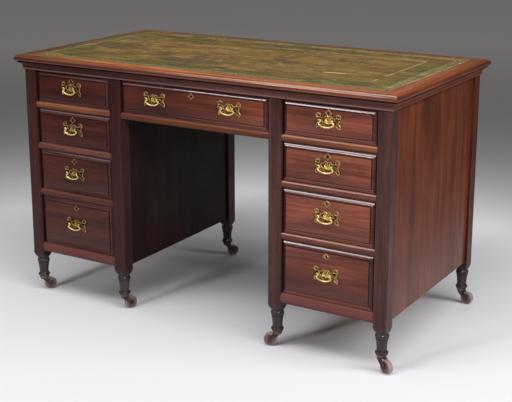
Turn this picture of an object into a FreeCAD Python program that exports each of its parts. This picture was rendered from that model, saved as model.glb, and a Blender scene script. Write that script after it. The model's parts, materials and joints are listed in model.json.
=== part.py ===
import FreeCAD, Part
import math
import os
from collections import namedtuple

# A kneehole desk: a leather-lined top over two pedestals of four drawers, with a frieze drawer between them.
# Millimetres, +Z up, +X to the right of someone facing the drawers, drawers towards -Y, the floor at zero.

# Plan of the desk
top_width = 1270.0
top_depth = 670.0
top_overhang = 23.0
kneehole_width = 500.0
post_side = 40.0
post_edge_round = 1.5

# Casters, from the floor up
wheel_diameter = 38.0
wheel_width = 15.0
wheel_edge_round = 3.0
wheel_rim = 5.0
wheel_dish = 2.0
hub_radius = 6.0
axle_radius = 2.5
axle_end = 1.5
wheel_trail = 20.0
wheel_top_gap = 0.6
wheel_side_gap = 0.6
horn_cheek = 3.0
horn_boss_radius = 6.0
horn_arm_width = 13.0
horn_plate_radius = 12.5
horn_plate_thickness = 3.0
horn_play = 0.4
pintle_radius = 4.0
pintle_length = 16.0
pintle_end_gap = 1.0
cup_height = 8.0
cup_floor = 2.0
cup_top_radius = 16.5
cup_bottom_radius = 13.5
spigot_radius = 10.0
running_fit = 0.05
seat_fit = 0.02
caster_turns = {
    "front_left_outer": 62.0,
    "front_left_inner": 66.0,
    "front_right_inner": 197.0,
    "front_right_outer": -22.0,
    "back_left_outer": 40.0,
    "back_left_inner": 45.0,
    "back_right_inner": 170.0,
    "back_right_outer": -5.0,
}

# Turned feet, from the caster cup up to the square of the post
ring_height = 8.0
ring_radius = 18.2
ring_bulge = 2.2
flare_height = 4.0
column_height = 31.0
column_foot_radius = 14.2
column_head_radius = 17.0
column_hollow = 0.6
listel_height = 2.0
listel_radius = 17.8
bead_height = 13.0
bead_radius = 19.4
bead_bulge = 3.0
neck_height = 4.0
neck_radius = 17.0
shoulder_height = 18.0
shoulder_bulge_shares = (0.62, 0.42)
square_below_rail = 8.5

# Drawer openings, from the lowest up, and the rails between them
lowest_opening = 158.0
third_opening = 129.0
second_opening = 110.0
highest_opening = 98.0
rail_thickness = 18.5
bottom_rail_height = 28.0
top_rail_height = 23.0
rail_depth = 45.0
rail_nose = 4.0
tenon_length = 14.0
tenon_thickness = 10.0
tenon_depth = 22.0

# Panels let into grooves in the posts
panel_thickness = 12.0
panel_recess = 7.0
panel_let_in = 6.0

# Runners, guides and stops inside the carcass
runner_reach = 12.0
guide_height = 12.0
stop_length = 30.0
stop_depth = 12.0
stop_height = 5.0
stop_inset = 45.0
stop_play = 0.3

# Moulded border, board and leather of the top
border_thickness = 22.0
border_width = 45.0
nosing_upper_radius = 11.0
nosing_lower_radius = 6.5
nosing_drop = 1.2
quirk_depth = 3.0
leather_thickness = 1.5
tongue_length = 8.0
tongue_thickness = 6.0
under_moulding_reach = 17.0
under_moulding_fillet = 4.0
under_moulding_lip = 2.0
under_moulding_clear = 1.0

# Drawers
drawer_depth = 560.0
drawer_side_gap = 1.0
drawer_top_gap = 1.5
drawer_lift = 0.3
drawer_inset = 1.0
front_thickness = 22.0
front_moulding_width = 15.0
front_moulding_depth = 7.0
front_edge_flat = 3.0
front_slope_bulge = 0.5
front_step = 1.8
front_step_flat = 2.0
side_thickness = 9.0
side_drop = 2.0
back_thickness = 9.0
back_drop = 8.0
bottom_thickness = 6.0
bottom_lift = 8.0
bottom_let_in = 4.0
dovetail_lap = 9.0
dovetail_pitch = 36.0
fewest_dovetails = 2
dovetail_tip_share = 0.72
dovetail_base_share = 0.52

# Handles
frieze_handle_spacing = 252.0
handle_rise = 4.0
plate_width = 75.0
plate_height = 41.2
plate_thickness = 1.5
pivot_spacing = 52.5
pivot_rise = 3.75
pivot_standoff = 13.0
pivot_head_radius = 5.2
pivot_neck_radius = 3.2
pivot_collar_radius = 4.6
pivot_collar_length = 2.0
stem_radius = 2.4
stem_clearance = 0.2
stem_end = 1.0
nut_radius = 5.5
nut_length = 4.0
bail_radius = 2.0
bail_pin_end = 4.0
bail_pin_inside = 6.8
bail_hook_radius = 2.6
bail_neck_radius = 3.5
bail_neck_turn = 70.0
bail_shoulder_radius = 4.0
bail_shoulder_turn = 128.0
# The right half of a back plate, from its upper notch to its lower drop: the middle and end of each arc,
# as shares of half its width and half its height.
plate_arc_shares = (
    ((0.17, 0.66), (0.30, 0.42)),
    ((0.42, 0.32), (0.54, 0.44)),
    ((0.76, 1.00), (0.98, 0.60)),
    ((0.96, 0.42), (0.88, 0.16)),
    ((0.82, -0.10), (0.86, -0.38)),
    ((0.99, -0.72), (0.90, -0.96)),
    ((0.78, -0.90), (0.64, -0.62)),
    ((0.44, -0.46), (0.22, -0.66)),
    ((0.15, -0.90), (0.00, -1.00)),
)
plate_notch_share = 0.46
# The piercings of the right half: place as shares of half the plate, radius as a share of half its height.
plate_hole_shares = (
    (0.77, 0.62, 0.22),
    (0.46, -0.02, 0.19),
    (0.66, -0.36, 0.12),
    (0.24, -0.34, 0.14),
)

# Escutcheons and locks
escutcheon_width = 21.0
escutcheon_height = 20.0
escutcheon_waist_share = 0.42
escutcheon_thickness = 1.5
escutcheon_drop = 24.0
keyhole_radius = 2.0
keyhole_slot_width = 2.0
keyhole_length = 7.0
lock_width = 38.0
lock_height = 34.0
lock_depth = 10.0
bolt_width = 12.0
bolt_thickness = 5.0
bolt_height = 20.0
bolt_sunk = 0.5
bolt_clearance = 0.3
bolt_travel = 8.0
mortise_clearance = 0.8

# One overrun serves every cut
overrun = 5.0

Vec = FreeCAD.Vector
X = Vec(1, 0, 0)
Y = Vec(0, 1, 0)
Z = Vec(0, 0, 1)
FULL_TURN = 360
QUARTER_TURN = 90
diagonal_share = math.sqrt(0.5)

# Heights above the floor, worked out from the wheels up
axle_z = wheel_diameter / 2
horn_plate_z = wheel_diameter + wheel_top_gap
cup_z = horn_plate_z + horn_plate_thickness + horn_play
foot_z = cup_z + cup_height
ring_top = foot_z + ring_height
flare_top = ring_top + flare_height
column_top = flare_top + column_height
listel_top = column_top + listel_height
bead_top = listel_top + bead_height
neck_top = bead_top + neck_height
shoulder_top = neck_top + shoulder_height
carcass_bottom = shoulder_top + square_below_rail
opening_heights = (lowest_opening, third_opening, second_opening, highest_opening)
opening_floors = []
level = carcass_bottom + bottom_rail_height
for opening_height in opening_heights:
    opening_floors.append(level)
    level = level + opening_height + rail_thickness
top_rail_z = level - rail_thickness
carcass_top = top_rail_z + top_rail_height
desk_height = carcass_top + border_thickness

# Places in plan
carcass_x = top_width / 2 - top_overhang
carcass_y = top_depth / 2 - top_overhang
knee_x = kneehole_width / 2
front_y = -carcass_y
face_y = front_y + drawer_inset
front_back_y = face_y + front_thickness
rail_back_y = front_y + rail_depth
post_back_y = carcass_y - post_side
panel_inner = panel_recess + panel_thickness
pedestal_mid = (carcass_x + knee_x) / 2
pedestal_opening = carcass_x - knee_x - 2 * post_side
post_inset = post_side / 2
post_places = {}
for depth_name, depth_sign in (("front", -1), ("back", 1)):
    for side_name, side_sign in (("left", -1), ("right", 1)):
        post_y = depth_sign * (carcass_y - post_inset)
        post_places[f"{depth_name}_{side_name}_outer"] = (side_sign * (carcass_x - post_inset), post_y)
        post_places[f"{depth_name}_{side_name}_inner"] = (side_sign * (knee_x + post_inset), post_y)

# Handles and locks, seen from the front
bail_y = face_y - plate_thickness - pivot_standoff
lock_y = front_back_y - lock_depth / 2

# A drawer: its name, the middle and width of its opening, the opening's floor and height,
# and its handles' places.
Drawer = namedtuple("Drawer", "name x width floor height handles")


def list_drawers():
    """Every drawer of the desk, counted from the highest down in each pedestal."""
    drawers = []
    levels = list(zip(opening_floors, opening_heights))
    levels.reverse()
    for side_name, side_sign in (("left", -1), ("right", 1)):
        for number, (floor, height) in enumerate(levels, start=1):
            name = f"{side_name}_{number}"
            drawers.append(Drawer(name, side_sign * pedestal_mid, pedestal_opening, floor, height, {name: 0}))
    half = frieze_handle_spacing / 2
    floor, height = levels[0]
    handles = {"centre_left": -half, "centre_right": half}
    drawers.append(Drawer("centre", 0, kneehole_width, floor, height, handles))
    return drawers


def block(x_pair, y_pair, z_pair):
    """A block between two planes on each axis, given in any order."""
    low = Vec(min(x_pair), min(y_pair), min(z_pair))
    size = Vec(max(x_pair), max(y_pair), max(z_pair)) - low
    return Part.makeBox(size.x, size.y, size.z, low)


def face_of(start, steps):
    """A flat face from a start point and steps of (end) for a line or (middle, end) for an arc."""
    edges = []
    here = start
    for step in steps:
        if len(step) == 1:
            edges.append(Part.makeLine(here, step[0]))
        else:
            edges.append(Part.Arc(here, step[0], step[1]).toShape())
        here = step[-1]
    edges.append(Part.makeLine(here, start))
    return Part.Face(Part.Wire(edges))


def turned(start, steps):
    """A solid turned about the upright axis from its half outline of (radius, height) points."""
    points = [tuple(Vec(r, 0, z) for r, z in step) for step in steps]
    return face_of(Vec(start[0], 0, start[1]), points).revolve(Vec(0, 0, 0), Z, FULL_TURN)


def along_y(radius, x, y_pair, z):
    """A round bar along the depth of the desk."""
    return Part.makeCylinder(radius, max(y_pair) - min(y_pair), Vec(x, min(y_pair), z), Y)


def save(node, solids):
    """Write one node as a STEP file and say how many solids it holds."""
    Part.makeCompound(solids).exportStep(f"parts/{node}.step")
    print(node, len(solids), all(s.isValid() for s in solids))


def mitred_ring(half_x, half_y, section):
    """Four lengths of one section round a rectangle, mitred at its corners.

    The section maps to a face at the start of a length: it takes a function that turns a distance
    outwards from the rectangle and a height into a point.
    """
    reach = border_width + border_width
    lengths = []
    for along, out, half_length, half_width in (
        (X, -Y, half_x, half_y),
        (Y, X, half_y, half_x),
        (-X, Y, half_x, half_y),
        (-Y, -X, half_y, half_x),
    ):
        def place(distance, height):
            return out * (half_width + distance) - along * (half_length + reach) + Z * height

        bar = section(place).extrude(along * (2 * half_length + 2 * reach))
        corners = []
        for away, sign in ((reach, -1), (reach, 1), (-reach, 1), (-reach, -1)):
            corners.append(out * (half_width + away) + along * (sign * (half_length + away)))
        plan = Part.Face(Part.makePolygon(corners + corners[:1]))
        lengths.append(bar.common(plan.extrude(Z * (desk_height + overrun))))
    return lengths


def border_section(place):
    """Cross-section of a border member, its rounded nosing outwards."""
    bottom = carcass_top
    nose_z = desk_height - nosing_drop - nosing_upper_radius
    nose_low = nose_z - nosing_lower_radius
    top_x = -nosing_upper_radius
    low_x = -nosing_lower_radius
    upper_bulge = nosing_upper_radius * diagonal_share
    lower_bulge = nosing_lower_radius * diagonal_share
    upper_middle = place(top_x + upper_bulge, nose_z + upper_bulge)
    lower_middle = place(low_x + lower_bulge, nose_z - lower_bulge)
    steps = [
        (place(top_x, desk_height),),
        (place(top_x, desk_height - nosing_drop),),
        (upper_middle, place(0, nose_z)),
        (lower_middle, place(low_x, nose_low)),
        (place(low_x - quirk_depth, nose_low),),
        (place(low_x - quirk_depth, bottom),),
        (place(-border_width, bottom),),
    ]
    return face_of(place(-border_width, desk_height), steps)


def under_moulding_section(place):
    """Cross-section of the hollow moulding under the top's edge."""
    bottom = top_rail_z + under_moulding_clear
    lip_z = carcass_top - under_moulding_lip
    fillet_top = bottom + under_moulding_fillet
    lip_x = under_moulding_reach - under_moulding_lip
    middle_x = lip_x - (lip_x - under_moulding_fillet) * diagonal_share
    middle_z = fillet_top + (lip_z - fillet_top) * diagonal_share
    steps = [
        (place(under_moulding_fillet, bottom),),
        (place(under_moulding_fillet, fillet_top),),
        (place(middle_x, middle_z), place(lip_x, lip_z)),
        (place(under_moulding_reach, lip_z),),
        (place(under_moulding_reach, carcass_top),),
        (place(0, carcass_top),),
    ]
    return face_of(place(0, bottom), steps)


def make_top():
    """The moulded border, the board tongued into it and the leather let in flush."""
    inner_x = top_width / 2 - border_width
    inner_y = top_depth / 2 - border_width
    board_top = desk_height - leather_thickness
    tongue_z = (carcass_top + board_top) / 2
    board = block((-inner_x, inner_x), (-inner_y, inner_y), (carcass_top, board_top))
    tongue = block(
        (-inner_x - tongue_length, inner_x + tongue_length),
        (-inner_y - tongue_length, inner_y + tongue_length),
        (tongue_z - tongue_thickness / 2, tongue_z + tongue_thickness / 2),
    )
    board = board.fuse(tongue).removeSplitter()
    members = [m.cut(board) for m in mitred_ring(top_width / 2, top_depth / 2, border_section)]
    save("top_border", members + mitred_ring(carcass_x, carcass_y, under_moulding_section))
    save("top_panel", [board])
    leather = block((-inner_x, inner_x), (-inner_y, inner_y), (board_top, desk_height))
    save("leather_inset", [leather])


def make_panels():
    """Side, back and frieze panels, with the edges that are let into the posts."""
    panels = []
    let_y = post_back_y + panel_let_in
    back_pair = (carcass_y - panel_recess, carcass_y - panel_inner)
    heights = (carcass_bottom, carcass_top)
    for side in (-1, 1):
        outer = (side * (carcass_x - panel_recess), side * (carcass_x - panel_inner))
        inner = (side * (knee_x + panel_recess), side * (knee_x + panel_inner))
        panels.append(block(outer, (-let_y, let_y), heights))
        panels.append(block(inner, (-let_y, let_y), heights))
        back_low = side * (knee_x + post_side - panel_let_in)
        back_high = side * (carcass_x - post_side + panel_let_in)
        panels.append(block((back_low, back_high), back_pair, heights))
    frieze = knee_x + panel_let_in
    frieze_floor = opening_floors[-1] - rail_thickness
    panels.append(block((-frieze, frieze), back_pair, (frieze_floor, carcass_top)))
    return panels


def tenoned(rail):
    """A front rail with a tenon at each end."""
    box = rail.BoundBox
    middle_y = (front_y + rail_back_y) / 2
    middle_z = (box.ZMin + box.ZMax) / 2
    tenons = block(
        (box.XMin - tenon_length, box.XMax + tenon_length),
        (middle_y - tenon_depth / 2, middle_y + tenon_depth / 2),
        (middle_z - tenon_thickness / 2, middle_z + tenon_thickness / 2),
    )
    return rail.fuse(tenons).removeSplitter()


def make_rail(x_pair, z_low, z_high):
    """A front rail with a rounded nose."""
    x = min(x_pair)
    corner_y = front_y + rail_nose
    steps = [
        (Vec(x, corner_y, z_low),),
        (Vec(x, front_y, (z_low + z_high) / 2), Vec(x, corner_y, z_high)),
        (Vec(x, rail_back_y, z_high),),
    ]
    return tenoned(face_of(Vec(x, rail_back_y, z_low), steps).extrude(X * (max(x_pair) - x)))


def make_top_rail(x_pair):
    """A plain rail that the moulding under the top's edge lies against."""
    return tenoned(block(x_pair, (front_y, rail_back_y), (top_rail_z, carcass_top)))


def make_rails(drawers):
    """All front rails, mortised for the lock bolts of the drawers under them."""
    levels = [(carcass_bottom, opening_floors[0])]
    levels += [(floor - rail_thickness, floor) for floor in opening_floors[1:]]
    knee_pair = (-knee_x, knee_x)
    rails = [make_rail(knee_pair, *levels[-1]), make_top_rail(knee_pair)]
    for side in (-1, 1):
        x_pair = (side * (knee_x + post_side), side * (carcass_x - post_side))
        rails += [make_rail(x_pair, low, high) for low, high in levels]
        rails.append(make_top_rail(x_pair))
    half_x = bolt_width / 2 + mortise_clearance
    half_y = bolt_thickness / 2 + mortise_clearance
    for drawer in drawers:
        ceiling = drawer.floor + drawer.height
        mortise = block(
            (drawer.x - half_x, drawer.x + half_x),
            (lock_y - half_y, lock_y + half_y),
            (ceiling - overrun, ceiling + bolt_travel),
        )
        rails = [r.cut(mortise) if r.BoundBox.intersect(mortise.BoundBox) else r for r in rails]
    return rails


def make_runners():
    """Runners under the drawers, guides beside them and kickers over the highest ones."""
    pieces = []
    depth = (rail_back_y, post_back_y)
    bays = []
    for side in (-1, 1):
        outer_wall = side * (carcass_x - panel_inner)
        inner_wall = side * (knee_x + panel_inner)
        bays.append((outer_wall, side * (carcass_x - post_side), -side, opening_floors))
        bays.append((inner_wall, side * (knee_x + post_side), side, opening_floors))
        bays.append((side * (knee_x + panel_recess), side * knee_x, -side, opening_floors[-1:]))
    for wall, post_line, inwards, floors in bays:
        across = (wall, post_line + inwards * runner_reach)
        for floor in floors:
            pieces.append(block(across, depth, (floor - rail_thickness, floor)))
            pieces.append(block((wall, post_line), depth, (floor, floor + guide_height)))
        pieces.append(block(across, depth, (top_rail_z, carcass_top)))
    return pieces


def make_stops(drawers):
    """Two small stop blocks on the rail behind each drawer front."""
    stops = []
    near = front_back_y + stop_play
    for drawer in drawers:
        for side in (-1, 1):
            outer = drawer.x + side * (drawer.width / 2 - stop_inset)
            x_pair = (outer, outer - side * stop_length)
            stops.append(block(x_pair, (near, near + stop_depth), (drawer.floor, drawer.floor + stop_height)))
    return stops


def make_post():
    """One post about the upright axis, square above and turned into a foot below."""
    half = post_side / 2
    spigot_end = cup_z + cup_floor + running_fit
    pintle_top = horn_plate_z + horn_plate_thickness + pintle_length + pintle_end_gap
    half_diagonal = post_side * diagonal_share + running_fit
    ring_edge = ring_radius - ring_bulge
    bead_edge = bead_radius - bead_bulge
    column_middle = (column_foot_radius + column_head_radius) / 2 - column_hollow
    across_share, up_share = shoulder_bulge_shares
    shoulder_r = neck_radius + (half_diagonal - neck_radius) * across_share
    shoulder_z = neck_top + shoulder_height * up_share
    foot = turned(
        (0, spigot_end),
        [
            ((spigot_radius, spigot_end),),
            ((spigot_radius, foot_z),),
            ((ring_edge, foot_z),),
            ((ring_radius, foot_z + ring_height / 2), (ring_edge, ring_top)),
            ((column_foot_radius, flare_top),),
            ((column_middle, (flare_top + column_top) / 2), (column_head_radius, column_top)),
            ((listel_radius, column_top),),
            ((listel_radius, listel_top),),
            ((bead_edge, listel_top),),
            ((bead_radius, listel_top + bead_height / 2), (bead_edge, bead_top)),
            ((neck_radius, bead_top),),
            ((neck_radius, neck_top),),
            ((shoulder_r, shoulder_z), (half_diagonal, shoulder_top)),
            ((0, shoulder_top),),
        ],
    )
    square = block((-half, half), (-half, half), (spigot_end, carcass_top))
    upper = block((-half, half), (-half, half), (shoulder_top, carcass_top))
    upright = [e for e in upper.Edges if e.Length > carcass_top - shoulder_top - running_fit]
    upper = upper.makeFillet(post_edge_round, upright)
    hole = Part.makeCylinder(pintle_radius + running_fit, pintle_top, Vec(0, 0, 0), Z)
    return upper.fuse(foot.common(square)).cut(hole)


def make_carcass(drawers):
    """Posts, panels, and the rails, runners and stops that the drawers run on."""
    panels = make_panels()
    rails = make_rails(drawers)
    post = make_post()
    posts = []
    for x, y in post_places.values():
        piece = post.translated(Vec(x, y, 0))
        for other in panels + rails:
            if piece.BoundBox.intersect(other.BoundBox):
                piece = piece.cut(other)
        posts.append(piece)
    save("corner_posts", [p.Solids[0] for p in posts])
    save("pedestal_panels", panels)
    save("rails_and_runners", rails + make_runners() + make_stops(drawers))


def moulding_waste(x_pair, z_pair):
    """What is cut away along the four edges of a drawer front to leave its raised field."""
    x_low, x_high = x_pair
    z_low, z_high = z_pair
    slope_in = front_moulding_width - front_step_flat
    slope_turn = math.atan2(front_moulding_depth - front_step, slope_in - front_edge_flat)
    middle_in = (slope_in + front_edge_flat) / 2 - front_slope_bulge * math.sin(slope_turn)
    middle_deep = (front_step + front_moulding_depth) / 2 - front_slope_bulge * math.cos(slope_turn)
    wastes = []
    for start, along, inwards in (
        (Vec(x_low, face_y, z_low), X * (x_high - x_low), Z),
        (Vec(x_low, face_y, z_high), X * (x_high - x_low), -Z),
        (Vec(x_low, face_y, z_low), Z * (z_high - z_low), X),
        (Vec(x_high, face_y, z_low), Z * (z_high - z_low), -X),
    ):
        def place(distance, deep):
            return start + inwards * distance + Y * deep

        steps = [
            (place(front_moulding_width, -overrun),),
            (place(front_moulding_width, front_step),),
            (place(slope_in, front_step),),
            (place(middle_in, middle_deep), place(front_edge_flat, front_moulding_depth)),
            (place(-overrun, front_moulding_depth),),
        ]
        wastes.append(face_of(place(-overrun, -overrun), steps).extrude(along))
    return wastes


def drawer_side(x_pair, z_pair, back_y):
    """A drawer side, with the dovetails that lap into the front."""
    z_low, z_high = z_pair
    side = block(x_pair, (front_back_y, back_y), z_pair)
    count = max(fewest_dovetails, round((z_high - z_low) / dovetail_pitch))
    pitch = (z_high - z_low) / count
    tip_y = front_back_y - dovetail_lap
    tip = pitch * dovetail_tip_share / 2
    base = pitch * dovetail_base_share / 2
    for number in range(count):
        middle = z_low + pitch * (number + 1 / 2)
        corners = [
            Vec(min(x_pair), front_back_y, middle - base),
            Vec(min(x_pair), tip_y, middle - tip),
            Vec(min(x_pair), tip_y, middle + tip),
            Vec(min(x_pair), front_back_y, middle + base),
        ]
        tail = Part.Face(Part.makePolygon(corners + corners[:1])).extrude(X * side_thickness)
        side = side.fuse(tail)
    return side.removeSplitter()


def keyhole(drawer, y_pair):
    """A keyhole cutter: a round hole over a slot."""
    z = drawer.floor + drawer.height - escutcheon_drop
    hole = along_y(keyhole_radius, drawer.x, y_pair, z)
    half = keyhole_slot_width / 2
    return hole.fuse(block((drawer.x - half, drawer.x + half), y_pair, (z - keyhole_length, z)))


def handle_places(drawer):
    """The middle of each handle plate on a drawer, by the handle's name."""
    z = drawer.floor + drawer.height / 2 + handle_rise
    return {name: (drawer.x + shift, z) for name, shift in drawer.handles.items()}


def lock_block(drawer, top, margin):
    """The space of a lock case at the top of a drawer front, with a margin under and beside it."""
    half = lock_width / 2 + margin
    y_pair = (front_back_y - lock_depth - margin, front_back_y)
    return block((drawer.x - half, drawer.x + half), y_pair, (top - lock_height - margin, top))


def make_drawer_box(drawer):
    """Front, sides, back and bottom of one drawer."""
    half = drawer.width / 2 - drawer_side_gap
    x_low, x_high = drawer.x - half, drawer.x + half
    z_low = drawer.floor + drawer_lift
    z_high = drawer.floor + drawer.height - drawer_top_gap
    side_top = z_high - side_drop
    back_y = face_y + drawer_depth
    board_low = z_low + bottom_lift
    board_top = board_low + bottom_thickness
    bottom = block(
        (x_low + side_thickness - bottom_let_in, x_high - side_thickness + bottom_let_in),
        (front_back_y - bottom_let_in, back_y),
        (board_low, board_top),
    )
    sides = [
        drawer_side((x_low, x_low + side_thickness), (z_low, side_top), back_y).cut(bottom),
        drawer_side((x_high - side_thickness, x_high), (z_low, side_top), back_y).cut(bottom),
    ]
    back = block(
        (x_low + side_thickness, x_high - side_thickness),
        (back_y - back_thickness, back_y),
        (board_top, side_top - back_drop),
    )
    front = block((x_low, x_high), (face_y, front_back_y), (z_low, z_high))
    through = (face_y - overrun, front_back_y + overrun)
    cutters = moulding_waste((x_low, x_high), (z_low, z_high)) + sides + [bottom]
    cutters.append(lock_block(drawer, z_high, 0))
    cutters.append(keyhole(drawer, (face_y - overrun, front_back_y - lock_depth)))
    for x, z in handle_places(drawer).values():
        for side in (-1, 1):
            place = (x + side * pivot_spacing / 2, z + pivot_rise)
            cutters.append(along_y(stem_radius + stem_clearance, place[0], through, place[1]))
    for cutter in cutters:
        front = front.cut(cutter)
    return [front.Solids[0]] + sides + [back, bottom]


def plate_face(x, z):
    """The outline of a pierced back plate, as a face on the drawer front."""
    half_x = plate_width / 2
    half_z = plate_height / 2

    def place(share_x, share_z):
        return Vec(x + share_x * half_x, face_y, z + share_z * half_z)

    edges = []
    for side in (-1, 1):
        here = (0, plate_notch_share)
        for middle, end in plate_arc_shares:
            points = [place(side * share_x, share_z) for share_x, share_z in (here, middle, end)]
            edges.append(Part.Arc(*points).toShape())
            here = end
    outline = Part.Face(Part.Wire(Part.__sortEdges__(edges)))
    for share_x, share_z, radius_share in plate_hole_shares:
        for side in (-1, 1):
            centre = place(side * share_x, share_z)
            circle = Part.makeCircle(radius_share * half_z, centre, Y)
            outline = outline.cut(Part.Face(Part.Wire(circle)))
    return outline


def make_back_plate(x, z):
    """A pierced back plate with the two holes for its pivot posts."""
    plate = plate_face(x, z).extrude(Y * -plate_thickness)
    for side in (-1, 1):
        place = x + side * pivot_spacing / 2
        through = (face_y - plate_thickness - overrun, face_y + overrun)
        plate = plate.cut(along_y(stem_radius + stem_clearance, place, through, z + pivot_rise))
    return plate.Solids[0]


def make_pivot(x, z):
    """A pivot post with its stem through the drawer front, and the nut inside."""
    seat_y = face_y - plate_thickness
    stem_y = front_back_y + nut_length + stem_end
    post = along_y(stem_radius, x, (seat_y, stem_y), z)
    post = post.fuse(along_y(pivot_collar_radius, x, (seat_y - pivot_collar_length, seat_y), z))
    post = post.fuse(along_y(pivot_neck_radius, x, (bail_y, seat_y), z))
    post = post.fuse(Part.makeSphere(pivot_head_radius, Vec(x, bail_y, z)))
    bore_start = Vec(x - pivot_head_radius - overrun, bail_y, z)
    bore_length = 2 * pivot_head_radius + 2 * overrun
    post = post.cut(Part.makeCylinder(bail_radius + running_fit, bore_length, bore_start, X))
    nut = along_y(nut_radius, x, (front_back_y, front_back_y + nut_length), z)
    nut = nut.cut(along_y(stem_radius + seat_fit, x, (front_back_y - overrun, stem_y + overrun), z))
    return [post.Solids[0], nut]


def make_escutcheon(drawer):
    """A four-pointed escutcheon with hollow sides and a keyhole."""
    z = drawer.floor + drawer.height - escutcheon_drop
    half_x = escutcheon_width / 2
    half_z = escutcheon_height / 2
    waist_x = half_x * escutcheon_waist_share
    waist_z = half_z * escutcheon_waist_share

    def place(across, up):
        return Vec(drawer.x + across, face_y, z + up)

    tips = [place(0, half_z), place(half_x, 0), place(0, -half_z), place(-half_x, 0)]
    waists = [place(a * waist_x, b * waist_z) for a, b in ((1, 1), (1, -1), (-1, -1), (-1, 1))]
    arcs = [Part.Arc(tips[i - 1], waists[i - 1], tips[i]).toShape() for i in range(1, len(tips))]
    arcs.append(Part.Arc(tips[-1], waists[-1], tips[0]).toShape())
    plate = Part.Face(Part.Wire(arcs)).extrude(Y * -escutcheon_thickness)
    return plate.cut(keyhole(drawer, (face_y - escutcheon_thickness - overrun, face_y + overrun)))


def make_lock(drawer):
    """A lock case with its bolt, let into the back of the drawer front."""
    top = drawer.floor + drawer.height - drawer_top_gap
    case = lock_block(drawer, top, -running_fit)
    half_x = bolt_width / 2
    half_y = bolt_thickness / 2
    bolt_top = top - bolt_sunk
    bolt = block(
        (drawer.x - half_x, drawer.x + half_x),
        (lock_y - half_y, lock_y + half_y),
        (bolt_top - bolt_height, bolt_top),
    )
    slot = block(
        (drawer.x - half_x - bolt_clearance, drawer.x + half_x + bolt_clearance),
        (lock_y - half_y - bolt_clearance, lock_y + half_y + bolt_clearance),
        (bolt_top - bolt_height - bolt_clearance, top + overrun),
    )
    return case.cut(slot), bolt


def walk(start, moves):
    """A path of tangent runs and arcs in the upright plane, from a start point and heading along +X.

    Each move is (length,) for a straight run or (radius, turn) for an arc, where a positive turn goes left.
    """
    edges = []
    here = start
    heading = 0.0
    for move in moves:
        forward = X * math.cos(heading) + Z * math.sin(heading)
        if len(move) == 1:
            end = here + forward * move[0]
            edges.append(Part.makeLine(here, end))
        else:
            radius, turn = move[0], math.radians(move[1])
            left = Z * math.cos(heading) - X * math.sin(heading)
            toward = left * math.copysign(radius, turn)
            centre = here + toward
            spoke = -toward
            swing = FreeCAD.Rotation(-Y, math.degrees(turn / 2))
            middle = centre + swing.multVec(spoke)
            end = centre + swing.multVec(swing.multVec(spoke))
            edges.append(Part.Arc(here, middle, end).toShape())
            heading = heading + turn
        here = end
    return edges, here


def make_bail(x, z):
    """A swan-neck bail that hangs between its two pivot posts."""
    pivot_x = pivot_spacing / 2
    start = Vec(x - pivot_x - bail_pin_end, bail_y, z)
    half = [
        (bail_pin_end + bail_pin_inside,),
        (bail_hook_radius, -QUARTER_TURN),
        (bail_neck_radius, -bail_neck_turn),
        (bail_shoulder_radius, bail_shoulder_turn),
    ]
    bottom_from = walk(start, half)[1]
    bottom_turn = 2 * (QUARTER_TURN + bail_neck_turn - bail_shoulder_turn)
    bottom_radius = (x - bottom_from.x) / math.sin(math.radians(bottom_turn / 2))
    moves = half + [(bottom_radius, bottom_turn)] + half[::-1]
    path = Part.Wire(walk(start, moves)[0])
    ring = Part.Wire(Part.makeCircle(bail_radius, start, X))
    return path.makePipeShell([ring], True, False)


def make_drawers(drawers):
    """Every drawer's boards, brassware, lock bolt and bails."""
    for drawer in drawers:
        save(f"drawer_{drawer.name}_box", make_drawer_box(drawer))
        case, bolt = make_lock(drawer)
        brass = [make_escutcheon(drawer), case]
        for name, (x, z) in handle_places(drawer).items():
            pivot_z = z + pivot_rise
            brass.append(make_back_plate(x, z))
            for side in (-1, 1):
                brass += make_pivot(x + side * pivot_spacing / 2, pivot_z)
            save(f"bail_{name}", [make_bail(x, pivot_z)])
        save(f"drawer_{drawer.name}_brassware", brass)
        save(f"drawer_{drawer.name}_lock_bolt", [bolt])


def make_cup():
    """A brass caster cup under a foot, bored for the pintle."""
    seat = spigot_radius + seat_fit
    floor_top = cup_z + cup_floor
    bore = pintle_radius + running_fit
    return turned(
        (bore, cup_z),
        [
            ((cup_bottom_radius, cup_z),),
            ((cup_top_radius, foot_z),),
            ((seat, foot_z),),
            ((seat, floor_top),),
            ((bore, floor_top),),
        ],
    )


def make_horn():
    """A caster horn at the swivel axis, trailing along +X, and the axle pin through its cheeks."""
    plate_top = horn_plate_z + horn_plate_thickness
    cheek_in = wheel_width / 2 + wheel_side_gap
    cheek_out = cheek_in + horn_cheek
    arm = horn_arm_width / 2
    boss = horn_boss_radius * diagonal_share
    horn = Part.makeCylinder(horn_plate_radius, horn_plate_thickness, Vec(0, 0, horn_plate_z), Z)
    horn = horn.fuse(Part.makeCylinder(pintle_radius, pintle_length, Vec(0, 0, plate_top), Z))
    for side in (-1, 1):
        near = min(side * cheek_in, side * cheek_out)
        corners = [
            Vec(-arm, near, plate_top),
            Vec(arm, near, plate_top),
            Vec(wheel_trail + boss, near, axle_z + boss),
            Vec(wheel_trail - boss, near, axle_z - boss),
            Vec(-arm, near, horn_plate_z - horn_plate_thickness),
        ]
        cheek = Part.Face(Part.makePolygon(corners + corners[:1])).extrude(Y * horn_cheek)
        cheek = cheek.fuse(along_y(horn_boss_radius, wheel_trail, (near, near + horn_cheek), axle_z))
        horn = horn.fuse(cheek)
    reach = cheek_out + axle_end
    pin = along_y(axle_radius, wheel_trail, (-reach, reach), axle_z)
    hole = along_y(axle_radius + seat_fit, wheel_trail, (-reach - overrun, reach + overrun), axle_z)
    return [horn.removeSplitter().cut(hole), pin]


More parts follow.
